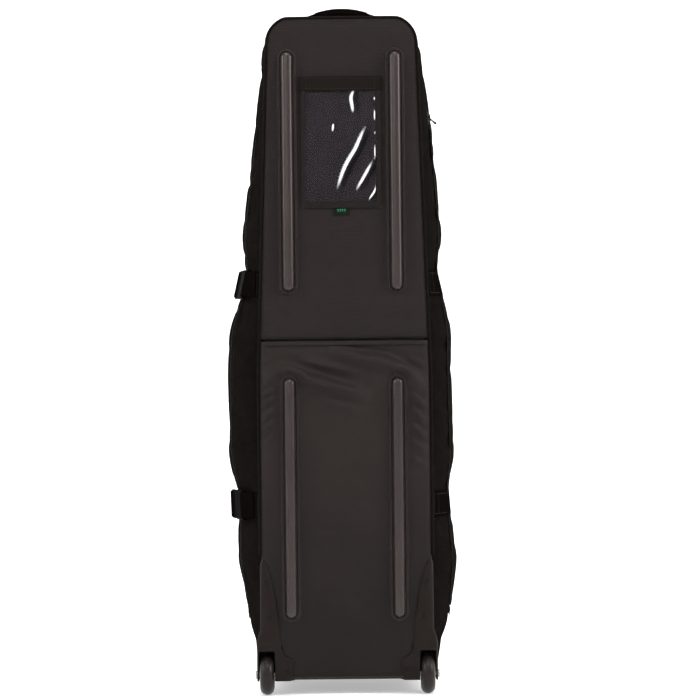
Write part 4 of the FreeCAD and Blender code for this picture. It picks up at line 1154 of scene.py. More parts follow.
WINDOW_CREASES = [
    # long curved creases down the window, then small nicks along its right edge
    ([(0.0615, 1.090), (0.0486, 1.074), (0.0385, 1.053), (0.0299, 1.034), (0.0169, 1.013), (0.0068, 0.993),
      (-0.0041, 0.962), (-0.0090, 0.947)], 4.4, 7.5),
    ([(0.0665, 1.020), (0.0486, 0.987), (0.0270, 0.951)], 3.6, 6.5),
    ([(0.0327, 1.153), (0.0230, 1.136), (0.0247, 1.119), (0.0264, 1.101)], 3.6, 6.0),
    ([(-0.0130, 1.087), (-0.0154, 1.0685)], 2.4, 3.6),
    ([(0.0660, 1.137), (0.0660, 1.127)], 2.6, 3.4),
    ([(0.0660, 1.115), (0.0660, 1.086)], 2.8, 3.4),
    ([(0.0660, 1.071), (0.0660, 1.063)], 2.2, 3.0),
    ([(0.0660, 1.048), (0.0660, 1.013)], 2.8, 3.4),
    ([(0.0665, 0.976), (0.0650, 0.958), (0.0500, 0.936)], 2.6, 3.6),
    ([(-0.0080, 1.050), (-0.0220, 1.010), (-0.0400, 0.985)], 0.5, 9.0),
    ([(-0.0500, 1.140), (-0.0400, 1.080), (-0.0520, 1.020)], 0.5, 11.0),
]


def card_window():
    """A clear, slightly rippled film over the pocket."""
    low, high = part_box("id_window")
    x, z = np.meshgrid(np.linspace(low.x, high.x, 120), np.linspace(low.z, high.z, 200))
    gap = np.minimum(np.minimum(x - low.x, high.x - x), np.minimum(z - low.z, high.z - z))
    relief = 0.28 * MM * noise(x * 24, z * 18, 21)
    relief = folded(relief, x, z, WINDOW_CREASES, 0.62, 0.5)
    y = low.y - 0.1 * MM - np.clip(relief, -0.3 * MM, 3.0 * MM) * smooth_step(gap / (5 * MM))
    points = np.stack([x, y, z], -1)
    obj = grid_object("card_window", points, VINYL, (0, 1, 1))
    thicken(obj, 0.3 * MM)
    attach(obj, "case", "clear_vinyl", "id_window")


def card_pocket():
    """Backing cloth, folded binding with two rows of stitches, film window, closure strip and tag."""
    low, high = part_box("id_binding")
    y = high.y
    window_low, window_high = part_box("id_window")
    outer = fine_loop(rounded_loop((low.x, low.z), (high.x, high.z), 12 * MM), 260)
    inner_low = window_low.x + 2.0 * MM, window_low.z + 5 * MM
    inner_high = window_high.x - 2.5 * MM, window_high.z - 2 * MM
    inner = fine_loop(rounded_loop(inner_low, inner_high, 10 * MM), 260)
    profile = [(0.0, -0.2), (0.0, 1.0), (0.08, 2.0), (0.25, 2.7), (0.55, 2.9), (0.8, 2.6), (0.94, 1.9),
               (1.0, 0.9), (1.0, -0.2)]
    profile = [(share, height * MM) for share, height in profile]
    frame_band("card_binding", outer, inner, profile, y, BINDING, "binding", ["id_binding"], 0.35 * MM, 4)
    runs = []
    for share in (0.16, 0.84):
        loop = outer + (inner - outer) * share
        loop = np.vstack([loop, loop[:1]])
        runs.append((np.stack([loop[:, 0], np.full(len(loop), y - 2.55 * MM), loop[:, 1]], 1), (0, -1, 0)))
    attach(stitches("card_stitches", runs, THREAD, 3.0 * MM, 0.6 * MM), "case", "binding")

    low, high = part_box("id_backing")
    x, z = np.meshgrid(np.linspace(low.x, high.x, 30), np.linspace(low.z, high.z, 44))
    points = np.stack([x, low.y - 0.2 * MM * noise(x * 40, z * 40, 8), z], -1)
    backing = grid_object("card_backing", points, BACKING, (0, 1, 1))
    thicken(backing, 0.8 * MM)
    attach(backing, "case", "ballistic_weave", "id_backing")
    card_window()
    closure_strip()
    card_tag()


def closure_strip():
    """A flat woven closure strip across the top, its ends folded under and sewn."""
    low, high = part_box("id_closure_strip")
    x, z = np.meshgrid(np.linspace(low.x - 1.5 * MM, high.x + 1.5 * MM, 96), np.linspace(low.z, high.z, 20))
    gap = np.minimum(z - low.z, high.z - z)
    ends = np.minimum(x - x.min(), x.max() - x)
    lift = 0.9 * MM * smooth_step(1 - ends / (7 * MM)) + 0.35 * MM * noise(x * 50, z * 60, 13)
    y = low.y + 0.9 * MM * (1 - smooth_step(gap / (2 * MM))) - lift
    y = y + 1.8 * MM * (1 - smooth_step(ends / (1.6 * MM)))
    points = np.stack([x, y, z], -1)
    obj = grid_object("card_closure", points, STRIP, (0, 1, 1))
    thicken(obj, 1.6 * MM)
    attach(obj, "case", "webbing", "id_closure_strip")
    runs = [(points[k, 4:-4] - [0, 0.25 * MM, 0], (0, -1, 0)) for k in (3, 16)]
    runs += [(points[2:-2, k] - [0, 0.25 * MM, 0], (0, -1, 0)) for k in (8, -9)]
    attach(stitches("closure_stitches", runs, THREAD, 3.0 * MM, 0.6 * MM), "case", "webbing")


def card_tag():
    """A small plain folded label, sewn at its top edge."""
    low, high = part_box("id_tag")
    x, z = np.meshgrid(np.linspace(low.x, high.x, 24), np.linspace(low.z, high.z, 16))
    bow = np.sin((x - low.x) / (high.x - low.x) * math.pi)
    y = low.y - 0.5 * MM * smooth_step((high.z - z) / (9 * MM)) - 0.25 * MM * bow
    points = np.stack([x, y, z], -1)
    obj = grid_object("card_tag", points, TAG, (0, 1, 1))
    thicken(obj, 0.9 * MM)
    attach(obj, "case", "tag", "id_tag")
    motif = [(points[k, 5:-5] - [0, 0.2 * MM, 0], (0, -1, 0)) for k in (10, 13)]
    lines = stitches("card_tag_lines", motif, GREEN, 4.2 * MM, 1.3 * MM)
    attach(lines, "case", "tag")


# ---- straps ------------------------------------------------------------------------------------
STRAP_THICK = 2.0 * MM
STRAP_LIFT = 0.8 * MM
HINGE_START, HINGE_END = -0.085, -0.055


def strap_points(level, rows=9):
    """The whole strap from the left buckle round the front to the right back seam."""
    middle, half = STRAPS[level]
    heights = np.linspace(middle - half, middle + half, rows)
    walls = [blur(level_line(z, 520), 3.0, 0) for z in heights]
    points = blur(np.array([cut_line(line, SEAM_Y, SEAM_Y, 260) for line in walls]), 1.2, 0)
    points[..., 2] = heights[:, None]
    return points


def ribbon(name, points, body, replaced=(), bend=None):
    """A length of strap from a grid on its inner face; when bend is given, the piece is baked in place and
    fixed to no body, and the two points in bend are not used.
    """
    obj = grid_object(name, lifted(points, STRAP_LIFT + STRAP_THICK), WEBBING, (0, 0, float(points[0, 0, 2])))
    thicken(obj, STRAP_THICK)
    rounded(obj, STRAP_THICK * 0.35, 2, 50)
    bake(obj)
    if bend:
        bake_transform(obj)
    else:
        attach(obj, body, "webbing", *replaced)


def column_at(points, y, side):
    """The column where a strap passes a depth on one flank."""
    line = points[points.shape[0] // 2]
    half = len(line) // 2
    if side == LEFT:
        return int(np.argmin(np.abs(line[:half, 1] - y)))
    return half + int(np.argmin(np.abs(line[half:, 1] - y)))


BUCKLE_LENGTH = 66.4 * MM
BUCKLE_DEPTH = 9 * MM


BUCKLE_TURN = {"lower": 20.0, "upper": 15.0}


class BuckleFrame:
    """Where a buckle's socket lies: the middle of its inner rear edge, and its own directions."""

    def __init__(self, level):
        turn = math.radians(BUCKLE_TURN[level])
        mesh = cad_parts[f"buckle_socket_{level}"].data
        points = np.array([v.co for v in mesh.vertices])
        self.along = np.array([-math.sin(turn), math.cos(turn), 0.0])
        out = np.array([-math.cos(turn), -math.sin(turn), 0.0])
        middle = STRAPS[level][0]
        rear = points[points @ self.along < (points @ self.along).min() + 1.0 * MM]
        below, above = rear[rear[:, 2] < middle], rear[rear[:, 2] > middle]
        ends = [min(part, key=lambda p: p @ out) for part in (below, above)]
        slope = (ends[1] - ends[0]) @ out / (ends[1][2] - ends[0][2])
        self.up = out * slope + np.array([0, 0, 1.0])
        self.up /= np.linalg.norm(self.up)
        self.out = np.cross(self.along, self.up)
        self.out *= np.sign(self.out @ out)
        self.origin = ends[0] + (ends[1] - ends[0]) * (middle - ends[0][2]) / (ends[1][2] - ends[0][2])

    def at(self, out, along, up):
        return self.origin + self.out * out + self.along * along + self.up * up


def webbing_loop(name, buckle, level, path, tail, body):
    """Webbing round a buckle's end bar, sewn back on itself. path is (out, along) in mm from the bar."""
    middle, half = STRAPS[level]
    rows = []
    for start, height in zip(tail, np.linspace(-half, half, len(tail))):
        line = [buckle.at(out * MM, along * MM, height) for out, along in path]
        back = start[::-1] + buckle.out * 0.4 * MM
        rows.append(evenly(curve_through(np.vstack([start, line, back]), 12), 70))
    obj = grid_object(name, np.array(rows), WEBBING, (0, 0, middle))
    thicken(obj, 1.7 * MM, offset=0)
    attach(obj, body, "webbing")


def strap(level, runs):
    """One strap: tail, front, hinge and root, a loop at each end of its buckle, and its sewing lines."""
    points = strap_points(level)
    buckle = BuckleFrame(level)
    plug_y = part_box(f"buckle_plug_{level}")[1].y
    rear_y = buckle.origin[1]
    tail_end = column_at(points, rear_y - 2 * MM, LEFT)
    start = column_at(points, plug_y - 4 * MM, LEFT)
    bend_start, bend_end = (column_at(points, y, RIGHT) for y in (HINGE_START, HINGE_END))
    ribbon(f"strap_{level}_tail", points[:, :tail_end + 1], "case", [f"strap_tail_{level}"])
    ribbon(f"strap_{level}_front", points[:, start:bend_end + 1], "door", [f"strap_front_{level}"])
    ribbon(f"strap_{level}_hinge", points[:, bend_end:bend_start + 1], None,
           bend=(tuple(points[4, bend_start]), tuple(points[4, bend_end])))
    ribbon(f"strap_{level}_root", points[:, bend_start:], "case", [f"strap_root_{level}"])

    over = lifted(points, STRAP_LIFT + STRAP_THICK + 1.1 * MM)
    rear = [column_at(points, rear_y - d * MM, LEFT) for d in (15, 9)]
    deep = BUCKLE_DEPTH / MM
    bar = [(-1.2, -1.5), (-1.0, 4.7), (5.5, 4.8), (deep + 1.0, 4.2), (deep + 1.4, 1.0), (8.0, -1.3)]
    webbing_loop(f"webbing_loop_{level}_rear", buckle, level, bar, over[:, rear], "case")
    fore = [column_at(points, plug_y + d * MM, LEFT) for d in (14, 8)]
    end = BUCKLE_LENGTH / MM
    bar = [(0.0, end + 1.5), (-0.6, end - 6.8), (5.5, end - 7.0), (9.3, end - 6.4), (9.5, end - 1.0),
           (7.0, end + 1.6)]
    webbing_loop(f"webbing_loop_{level}_front", buckle, level, bar, over[:, fore], f"plug_{level}")

    raised = lifted(points, STRAP_LIFT + STRAP_THICK + 0.15 * MM)
    normal = lifted(points, 1.0) - points
    for row in (1, -2):
        for body, part in (("case", slice(2, tail_end - 4)), ("case", slice(bend_start + 2, -2)),
                           ("door", slice(start + 6, bend_end - 2))):
            runs[body].append((raised[row, part], normal[row, part]))
    for column in (2, 6, -7, -3):
        runs["case"].append((raised[1:-1, column], normal[4, column]))


def straps():
    runs = {"case": [], "door": []}
    for level in STRAPS:
        strap(level, runs)
    for body, lines in runs.items():
        attach(stitches(f"strap_stitches_{body}", lines, THREAD, 4.0 * MM, 0.7 * MM), body, "webbing")


# ---- zips --------------------------------------------------------------------------------------
def zip_side(name, line, across, outward, body, width, *replaced):
    """The tape of half a zip. line is the tape's inner edge."""
    line = np.asarray(line, float)
    across = np.broadcast_to(across, line.shape)
    outward = np.broadcast_to(outward, line.shape)
    shares = np.linspace(0, 1, 6)
    lift = np.array([0.9, 1.1, 0.9, 0.7, 0.6, 0.3]) * MM
    points = np.stack([line + across * width * s + outward * h for s, h in zip(shares, lift)])
    obj = grid_object(name + "_tape", points, TAPE, INSIDE)
    thicken(obj, 1.1 * MM)
    attach(obj, body, "zip_tape", *replaced)


def teeth(name, line, across, outward, body, pitch=2.3 * MM, reach=3.4 * MM, shift=0.0):
    """A row of coil turns lying across the edge of a tape."""
    spots, tangents = along(line, pitch, 0.25 + shift)
    index = np.linspace(0, len(line) - 1, len(spots))
    directions = []
    for values in (across, outward):
        columns = np.broadcast_to(values, np.shape(line)).T
        directions.append(np.stack([np.interp(index, np.arange(len(line)), c) for c in columns], 1))
    placements = []
    for spot, tangent, side, up in zip(spots, tangents, *directions):
        side = side / np.linalg.norm(side)
        up = np.cross(side, tangent) * np.sign(np.dot(np.cross(side, tangent), up))
        placements.append((spot + side * reach * 0.30 + up * 1.3 * MM, (side, np.cross(up, side), up)))
    obj = many(name, placements, bead_template(reach, pitch * 0.62, 1.7 * MM), COIL)
    attach(obj, body, "zip_tape")


MAIN_TAPE = 11.5 * MM
SEWING_LINES = (7.2 * MM, 9.6 * MM)
ZIP_GAP = 0.5 * MM


def main_zip():
    """The zip from the foot up, over the hood and down to the hinge, and the level run round the foot."""
    rows = skin_strip(CASE_EDGE_Y - 8 * MM, DOOR_EDGE_Y + 8 * MM, 17)
    z = rows[:, 8, 2]
    first = int(np.flatnonzero(z[:HALF_ROWS] > TRAY_ZIP_Z)[0])
    last = HALF_ROWS + int(np.flatnonzero(z[HALF_ROWS:] > RIGHT_ZIP_Z)[-1])
    rows = rows[first:last + 1]
    rows[0, :, 2] = TRAY_ZIP_Z
    split = rows[:, 8]
    normal = outward_normals(rows)[:, 8]
    halves = []
    for edge, body, shift in ((0, "case", 0.0), (-1, "door", 0.5)):
        across = rows[:, edge] - split
        across /= np.linalg.norm(across, axis=1, keepdims=True)
        halves.append((f"{body}_zip", split, across, normal, body, shift, [f"{body}_zip_tape"]))
    foot = (level_line(TRAY_TOP - 2 * MM) + level_line(DOOR_BOTTOM + 2 * MM)) / 2
    foot = cut_line(foot, SPLIT_Y, SPLIT_Y + 8 * MM, 260)
    foot[:, 2] = TRAY_ZIP_Z
    outward = lifted(foot[None], 1.0)[0] - foot
    halves.append(("foot_zip", foot, np.array([0, 0, -1.0]), outward, "case", 0.0, []))
    halves.append(("sill_zip", foot, np.array([0, 0, 1.0]), outward, "door", 0.5, []))
    runs = {"case": [], "door": []}
    for name, middle, across, outward, body, shift, replaced in halves:
        line = middle + across * ZIP_GAP
        zip_side(name, line, across, outward, body, MAIN_TAPE, *replaced)
        teeth(f"{name}_teeth", line, across, outward, body, shift=shift)
        runs[body] += [(middle + across * reach + outward * 1.2 * MM, outward) for reach in SEWING_LINES]
    for body, lines in runs.items():
        attach(stitches(f"{body}_zip_stitches", lines, THREAD, 3.4 * MM, 0.55 * MM), body, "zip_tape")


def fabric_hinge():
    """The cloth strip down the right side that the door turns on."""
    z = SKIN_Z.copy()
    z[:HALF_ROWS] = 10
    keep = np.flatnonzero((z > DOOR_BOTTOM - 4 * MM) & (z < RIGHT_ZIP_Z + 3 * MM))
    rows = slice(keep[0], keep[-1] + 1)
    points = skin_strip(CASE_EDGE_Y - 4 * MM, DOOR_EDGE_Y + 4 * MM, 15, 0.6 * MM, rows)
    obj = grid_object("fabric_hinge", points, NYLON, INSIDE)
    thicken(obj, 1.6 * MM, offset=1.0)
    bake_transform(obj)
    normal = outward_normals(points)
    for column, body in ((1, "case"), (2, "case"), (12, "door"), (13, "door")):
        run = points[:, column] + normal[:, column] * 1.8 * MM, normal[:, column]
        attach(stitches(f"hinge_stitches_{column}", [run], THREAD, 3.6 * MM, 0.6 * MM), body, "case_fabric")


def seams():
    """Corded seams round the front and the foot."""
    front = blur(SEAM[:, -1], 1.5, 0)
    seam_cord("front_seam_cord", front + [0, 0.6 * MM, 0], 2.1 * MM, "door")
    normal = outward_normals(SEAM)[:, -3]
    run = SEAM[:, -3] + normal * 0.4 * MM, normal
    attach(stitches("front_seam_stitches", [run], THREAD, 3.6 * MM, 0.6 * MM), "door", "case_fabric")
    foot = cut_line(level_line(BASE_TOP + 4 * MM), CASE_EDGE_Y, CASE_EDGE_Y, 220)
    foot[:, 2] = BASE_TOP + 1.5 * MM
    seam_cord("foot_seam_cord", foot, 2.0 * MM, "case")


# ---- top handle --------------------------------------------------------------------------------
def hood_height(x, y):
    hit = WALLS.ray_cast(Vector((x, y, 2.0)), Vector((0, 0, -1)), 1.0)
    return TOP if hit[0] is None else hit[0].z


def top_handle():
    """A webbing handle: sewn flat at both ends, arched in the middle, with a second layer as the grip."""
    grip_low, grip_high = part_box("top_handle_grip")
    legs_low, legs_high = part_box("top_handle_legs")
    middle = (grip_low.y + grip_high.y) / 2
    half = (grip_high.y - grip_low.y) / 2
    x = np.linspace(legs_low.x, legs_high.x, 121)
    rest = np.array([hood_height(a, middle) for a in x])
    rest = blur(rest[None], 2, 1)[0]
    rise = grip_high.z - 1.6 * MM - (TOP + 1.0 * MM)
    arch = rise * (1 - np.clip(np.abs(x) / (77 * MM), 0, 1) ** 2.1) ** 1.2
    height = rest + 1.0 * MM + arch
    y = np.linspace(middle - half, middle + half, 9)
    grid_x, grid_y = np.meshgrid(x, y)
    points = np.stack([grid_x, grid_y, height - 0.5 * MM * ((grid_y - middle) / half) ** 2], -1)
    strip = grid_object("top_handle", points, WEBBING, (0, -0.1, 1.0))
    thicken(strip, 1.9 * MM, offset=1.0)
    rounded(strip, 0.6 * MM, 2, 50)
    bake(strip)
    attach(strip, "case", "webbing", "top_handle_grip", "top_handle_legs")
    grip_x = np.linspace(-50 * MM, 50 * MM, 61)
    line = np.interp(grip_x, x, height)
    taper = (1 - np.clip(np.abs(grip_x) / (50 * MM), 0, 1) ** 4) ** 0.5
    turn = np.linspace(0, 2 * math.pi, 28, endpoint=False)
    rings = []
    for px, pz, share in zip(grip_x, line, taper):
        wide, thick = half * (0.86 + 0.12 * share), (1.6 + 6.4 * share) * MM
        round_y = np.sign(np.cos(turn)) * np.abs(np.cos(turn)) ** 0.6
        round_z = np.sign(np.sin(turn)) * np.abs(np.sin(turn)) ** 0.8
        round_z = pz + 4.0 * MM - thick + thick * round_z
        rings.append(np.stack([np.full(28, px), middle + wide * round_y, round_z], 1))
    rings = np.array(rings)
    faces = grid_faces(61, 28, ring=True).tolist() + [list(range(28))[::-1], list(range(60 * 28, 61 * 28))]
    grip = mesh_object("top_handle_pad", rings.reshape(-1, 3), faces, WEBBING)
    attach(grip, "case", "webbing")
    runs = []
    up = np.array([0, 0, 1.0])
    for side in (LEFT, RIGHT):
        a, b = sorted((side * 86 * MM, side * 68 * MM))
        corners = [(a, y[1]), (b, y[1]), (b, y[-2]), (a, y[-2]), (a, y[1]), (b, y[-2])]
        corners += [(a, y[-2]), (b, y[1])]
        line = [(p, q, float(np.interp(p, x, height)) + 2.0 * MM) for p, q in corners]
        fine = np.concatenate([np.linspace(line[i], line[i + 1], 12) for i in range(len(line) - 1) if i != 5])
        runs.append((fine, up))
    for column in (5, 9):
        seam = rings[3:-3, column]
        runs.append((seam + up * 0.2 * MM, up))
    attach(stitches("handle_stitches", runs, THREAD, 3.4 * MM, 0.7 * MM), "case", "webbing")


# ---- shoe pocket on the door -------------------------------------------------------------------
def shoe_pocket():
    """A puffed patch pocket on the front with a zip across its top."""
    low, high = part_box("pocket_pouch")
    zip_low, zip_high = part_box("pocket_zip_tape")
    fronts = tree_of("door_front")
    x, z = np.meshgrid(np.linspace(low.x, high.x, 57), np.linspace(low.z, high.z, 73))
    base = np.array([[front_depth(fronts, a, b) for a, b in zip(p, q)] for p, q in zip(x, z)])
    base = blur(blur(np.array([fill_gaps(line) for line in base]), 2, 0), 2, 1)
    u = (x - low.x) / (high.x - low.x) * 2 - 1
    v = (z - low.z) / (high.z - low.z) * 2 - 1
    round_x = (1 - np.abs(u) ** 5).clip(0) ** 0.5
    round_z = (1 - np.abs(v) ** 6).clip(0) ** 0.5
    depth = 25 * MM * round_x * round_z
    corner = smooth_step((np.abs(u) - 0.8) / 0.2) * smooth_step((np.abs(v) - 0.86) / 0.14)
    x = x - np.sign(u) * 9 * MM * corner
    points = np.stack([x, base + depth, z], -1)
    pins = edge_pins(*x.shape, width=2)
    beside = (z > zip_low.z - 6 * MM) & (z < zip_high.z + 6 * MM)
    pins[beside] = 1
    moved = settle(points, pins, (0, 0, 0.6), pressure=2.5, slack=0.05, cap=6 * MM, gravity=0.5)
    obj = grid_object("shoe_pocket", moved, NYLON, (0, 0, 0.6))
    thicken(obj, 2.0 * MM, levels=1)
    attach(obj, "door", "case_fabric", "pocket_pouch")
    edge = np.concatenate([points[0], points[1:, -1], points[-1, ::-1][1:], points[::-1, 0][1:-1]])
    cord = tube_mesh("shoe_pocket_cord", edge + [0, 1.4 * MM, 0], 1.9 * MM, PIPING, 8, True)
    attach(cord, "door", "piping")
    row = int(np.argmin(np.abs(z[:, 0] - (zip_low.z + zip_high.z) / 2)))
    keep = (x[row] > zip_low.x) & (x[row] < zip_high.x)
    line = points[row][keep]
    line[:, 2] = (zip_low.z + zip_high.z) / 2
    share, wanted = np.linspace(0, 1, len(line)), np.linspace(0, 1, 150)
    line = np.stack([np.interp(wanted, share, column) for column in line.T], 1)
    line[:, 1] = blur(line[None, :, 1], 4, 1)[0]
    outward = np.array([0, 1.0, 0])
    for side, name in ((-1, "lower"), (1, "upper")):
        across = np.array([0, 0, float(side)])
        half = line + across * 0.4 * MM
        zip_side(f"pocket_zip_{name}", half, across, outward, "door", 9 * MM,
                 *(["pocket_zip_tape"] if side < 0 else []))
        teeth(f"pocket_zip_{name}_teeth", half, across, outward, "door", 2.0 * MM, 2.8 * MM,
              0.0 if side < 0 else 0.5)
    lines = [(line + np.array([0, 1.6 * MM, s * 7.2 * MM]), outward) for s in (-1, 1)]
    attach(stitches("pocket_zip_stitches", lines, THREAD, 3.2 * MM, 0.55 * MM), "door", "zip_tape")


# ---- wheels and hardware -----------------------------------------------------------------------
def wheel(side):
    """A moulded tyre with a rounded tread and a spoked hub."""
    word = WORD[side]
    low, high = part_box(f"wheel_tyre_{word}")
    hub_low, hub_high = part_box(f"wheel_hub_{word}")
    middle = (low + high) / 2
    radius = (high.z - low.z) / 2
    half = (high.x - low.x) / 2
    bore = (hub_high.z - hub_low.z) / 2
    round_part = [(math.sin(a), 0.65 + 0.35 * math.cos(a) ** 0.95) for a in np.linspace(-1.5, 1.5, 25)]
    tread = [(-0.62, 0.64), (-0.86, 0.66)] + round_part + [(0.86, 0.66), (0.62, 0.64)]
    inner = bore - 0.3 * MM
    profile = [(s * half, max(r * radius, inner)) for s, r in tread]
    profile += [(0.62 * half, inner), (-0.62 * half, inner)]
    tyre = lathe(f"tyre_{word}", profile, middle, URETHANE, 112)
    attach(tyre, f"wheel_{word}", "wheel_urethane", f"wheel_tyre_{word}")
    hub(word, middle, half, bore)


def hub(word, middle, half, bore):
    """Rim ring, hub boss and six ribs."""
    ring_profile = [(-0.78, 0.90), (-0.82, 0.95), (-0.78, 1.0), (0.78, 1.0), (0.82, 0.95), (0.78, 0.90),
                    (0.2, 0.86), (-0.2, 0.86)]
    ring = lathe(f"hub_rim_{word}", [(s * half, r * bore) for s, r in ring_profile], middle, HUB, 96)
    low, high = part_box(f"wheel_bearings_{word}")
    seat = max((high.z - low.z) / 2, 5 * MM)
    boss = seat + 2.6 * MM
    boss_side = [(0.80, seat + 0.15 * MM), (0.86, seat + 0.6 * MM), (0.86, boss - 0.8 * MM), (0.80, boss)]
    boss_profile = [(-s, r) for s, r in boss_side] + boss_side[::-1]
    core = lathe(f"hub_boss_{word}", [(s * half, r) for s, r in boss_profile], middle, HUB, 72)
    verts, faces = [], []
    for k in range(6):
        angle = k * math.pi / 3 + 0.3
        along_r = np.array([0, math.cos(angle), math.sin(angle)])
        beside = np.array([0, -math.sin(angle), math.cos(angle)])
        start = len(verts)
        stations = np.linspace(boss - 0.6 * MM, bore * 0.92, 7)
        for r in stations:
            flare = 1 + 0.5 * abs((r - stations.mean()) / (stations[-1] - stations[0]) * 2) ** 3
            for s, w in ((-0.62, 0.7), (-0.70, 0.0), (-0.62, -0.7), (0.62, -0.7), (0.70, 0.0), (0.62, 0.7)):
                width = w * 2.6 * MM * flare
                verts.append(np.array(middle) + along_r * r + beside * width + [s * half, 0, 0])
        faces += (grid_faces(7, 6, ring=True) + start).tolist()
        faces += [[start + i for i in range(6)][::-1], [start + 36 + i for i in range(6)]]
    ribs = mesh_object(f"hub_spokes_{word}", verts, faces, HUB)
    rounded(ribs, 0.5 * MM, 2, 30)
    attach(ring, f"wheel_{word}", "hub_plastic", f"wheel_hub_{word}")
    for part in (core, ribs):
        attach(part, f"wheel_{word}", "hub_plastic")


def remeshed(obj, voxel):
    remesh = obj.modifiers.new("remesh", "REMESH")
    remesh.mode = "VOXEL"
    remesh.voxel_size = voxel
    remesh.use_smooth_shade = True


def softened(obj, rounds):
    soften = obj.modifiers.new("soften", "SMOOTH")
    soften.factor, soften.iterations = 0.5, rounds


def moulded(node, material, voxel):
    """A CAD part shown with the soft radii of a moulding."""
    obj = dress(node, material)
    remeshed(obj, voxel)
    softened(obj, 6)


def housing(side):
    """A wheel housing with crowned outer faces and softened edges, grown from the CAD part."""
    word = WORD[side]
    node = f"wheel_housing_{word}"
    obj = add_object(f"housing_{word}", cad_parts[node].data.copy())
    obj.data.materials.clear()
    obj.data.materials.append(HOUSING)
    remeshed(obj, 1.2 * MM)
    bake(obj)
    low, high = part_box(node)
    count = len(obj.data.vertices)
    co = np.empty(count * 3)
    obj.data.vertices.foreach_get("co", co)
    co = co.reshape(-1, 3)
    face = co[:, 1] < low.y + 1.0 * MM
    across = np.abs(co[:, 0])
    step = 3 * MM
    row = ((co[:, 2] - low.z) / step).astype(int)
    rows = row.max() + 1
    edges = np.full((2, rows), np.nan)
    for k in range(rows):
        on = face & (row == k)
        if on.any():
            edges[:, k] = across[on].min(), across[on].max()
    height = low.z + (np.arange(rows) + 0.5) * step
    edges = blur(np.array([fill_gaps(e) for e in edges]), 1.0, 1)
    inner, outer = (np.interp(co[:, 2], height, e) for e in edges)
    share = np.clip((across - inner) / np.maximum(outer - inner, 1 * MM), 0, 1)
    crown = 1 - np.abs(2 * share - 1) ** 2.4
    tip = smooth_step((co[:, 2] - (high.z - 30 * MM)) / (30 * MM))
    near = smooth_step(1 - (co[:, 1] - low.y) / (9 * MM))
    arm = smooth_step((co[:, 2] - (low.z + 60 * MM)) / (25 * MM))
    push = near * ((1 - crown) * (2.2 + 2.0 * arm) + tip * 2.6) * MM
    co[:, 1] += push
    obj.data.vertices.foreach_set("co", co.ravel())
    softened(obj, 10)
    bake(obj)
    attach(obj, "case", "housing_plastic", node)


# ---- inside ------------------------------------------------------------------------------------
def lining():
    """The cloth lining of the back, with slack wrinkles and a quilted border."""
    low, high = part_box("back_lining")
    z = close_rows(low.z + 0.5 * MM, high.z - 0.5 * MM, 9 * MM, 0, 60 * MM)
    left, right = node_outline("back_lining", z, 0.6 * MM)
    x, grid_z = panel_grid(left, right, z, 37)
    gap = border_distance(x, grid_z)
    relief = 1.6 * MM * noise(x * 20, grid_z * 14, 31) + 0.8 * MM * noise(x * 55, grid_z * 30, 33)
    y = high.y + 0.4 * MM + (relief + 1.6 * MM) * smooth_step(gap / (16 * MM))
    points = np.stack([x, y, grid_z], -1)
    obj = grid_object("lining_sheet", points, LINING, (0, -1, 0.6))
    thicken(obj, 1.2 * MM)
    attach(obj, "case", "lining", "back_lining")


def tie_straps():
    low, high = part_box("tie_straps")
    buckle_low, buckle_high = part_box("tie_buckle")
    for side, word in WORD.items():
        ends = (low.x, buckle_low.x + 6 * MM) if side == LEFT else (buckle_high.x - 6 * MM, high.x)
        x, z = np.meshgrid(np.linspace(*ends, 60), np.linspace(low.z, high.z, 7))
        share = (x - ends[0]) / (ends[1] - ends[0])
        y = high.y + 1.2 * MM + 1.6 * MM * np.sin(share * math.pi) ** 2 + 0.3 * MM * noise(x * 40, z * 40, 35)
        points = np.stack([x, y, z], -1)
        obj = grid_object(f"tie_strap_{word}", points, WEBBING, (0, -1, 0.7))
        thicken(obj, 1.6 * MM, offset=0)
        attach(obj, "case", "webbing", *(["tie_straps"] if side == LEFT else []))


# ---- build -------------------------------------------------------------------------------------
def dress(node, material, bevel=0.0):
    """Puts a material, and softened edges, on a CAD node that is shown as it is."""
    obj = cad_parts[node]
    obj.data.materials.clear()
    obj.data.materials.append(material)
    if bevel:
        rounded(obj, bevel)
    return obj


rear_gusset()
SEAM, _ = door_gusset()
door_front(SEAM[:, -1])
foot_tray()
back_panels()
piping()
rails()
card_pocket()
straps()
main_zip()
fabric_hinge()
seams()
top_handle()
shoe_pocket()
lining()
tie_straps()
wheel(LEFT)
wheel(RIGHT)
housing(LEFT)
housing(RIGHT)

for level in STRAPS:
    moulded(f"buckle_socket_{level}", BUCKLE, 0.6 * MM)
    moulded(f"buckle_plug_{level}", BUCKLE, 0.6 * MM)
moulded("tie_buckle", BUCKLE, 0.6 * MM)
for name in ("main", "pocket"):
    moulded(f"{name}_zip_slider", ENAMEL, 0.3 * MM)
    moulded(f"{name}_zip_puller", CORD, 0.3 * MM)
dress("back_board", BASE, 0.4 * MM)
dress("base_board", BASE, 0.8 * MM)
dress("front_feet", RUBBER, 1.5 * MM)
dress("housing_screws", SCREW, 0.3 * MM)
dress("wheel_axles", STEEL, 0.4 * MM)
for side in WORD.values():
    dress(f"wheel_bearings_{side}", BEARING, 0.2 * MM)


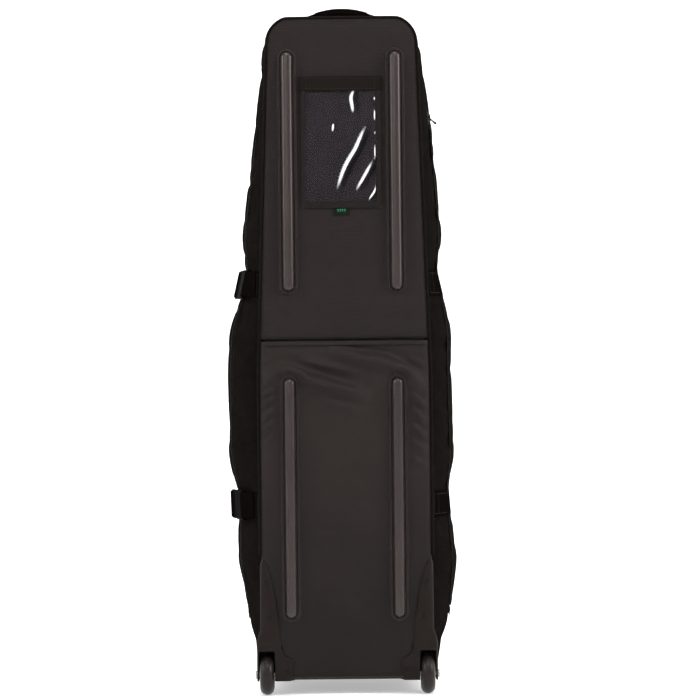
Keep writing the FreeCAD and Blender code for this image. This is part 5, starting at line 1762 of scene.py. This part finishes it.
# ---- studio ------------------------------------------------------------------------------------
def studio():
    """A pale round sweep of floor and wall, glowing more behind the case so that it reads as white."""
    floor, bend = 6.2, 1.4
    profile = [(r, 0.0) for r in (0.001, 0.5, 1.0, 2.0, 3.5, 5.0, floor)]
    profile += [(floor + bend * math.sin(a), bend - bend * math.cos(a))
                for a in np.linspace(0, math.pi / 2, 12)[1:]]
    profile += [(floor + bend, 4.0), (floor + bend, 8.0)]
    turn = np.linspace(0, 2 * math.pi, 97)
    points = np.array([[(r * math.cos(a), r * math.sin(a), z) for a in turn] for r, z in profile])
    n = Nodes("studio", (0.84, 0.84, 0.84), 0.9)
    where = n.place(False)
    n.set("Base Color", n.tint(n.noise(where, 0.6), 0.98, 1.02))
    depth = n.add("ShaderNodeSeparateXYZ", Vector=where).outputs["Y"]
    far = n.math("MINIMUM", n.math("MAXIMUM", n.math("MULTIPLY_ADD", depth, 0.5, 0.6), 0.03), 1.0)
    n.set("Emission Strength", n.math("MULTIPLY", far, 0.66))
    n.set("Emission Color", (1, 1, 1, 1))
    n.set("Specular IOR Level", 0.0)
    sweep = grid_object("studio_sweep", points, n.material, (0, 0, 3))
    sweep.data.flip_normals()


def lamp(name, place, aim, size, power, colour=(1, 1, 1)):
    data = bpy.data.lights.new(name, "AREA")
    data.shape = "RECTANGLE"
    data.size, data.size_y = size
    data.energy = power
    data.color = colour
    light = add_object(name, data)
    light.location = place
    light.rotation_euler = (Vector(aim) - Vector(place)).to_track_quat("-Z", "Y").to_euler()


def lights():
    world = bpy.data.worlds.new("studio")
    world.use_nodes = True
    world.node_tree.nodes["Background"].inputs["Color"].default_value = (1, 1, 1, 1)
    world.node_tree.nodes["Background"].inputs["Strength"].default_value = 0.06
    bpy.context.scene.world = world
    lamp("left_box", (-2.6, -1.3, 2.0), (0, -0.1, 1.25), (0.7, 1.7), 38)
    lamp("right_box", (2.6, -1.2, 1.9), (0, -0.1, 1.25), (0.7, 1.7), 56)
    lamp("top_box", (0.0, 0.9, 3.6), (0, 0.3, 0.0), (3.2, 2.4), 90)
    lamp("front_fill", (-1.05, -3.9, 2.1), (0, -0.1, 1.1), (1.1, 1.2), 18)
    lamp("high_front", (0.1, -1.9, 3.5), (0, -0.15, 1.0), (1.6, 0.5), 44)
    lamp("back_wash", (0, 1.4, 3.8), (0, 3.6, 1.0), (4.0, 1.2), 60)
    bpy.context.scene.view_settings.view_transform = "Standard"


studio()
lights()
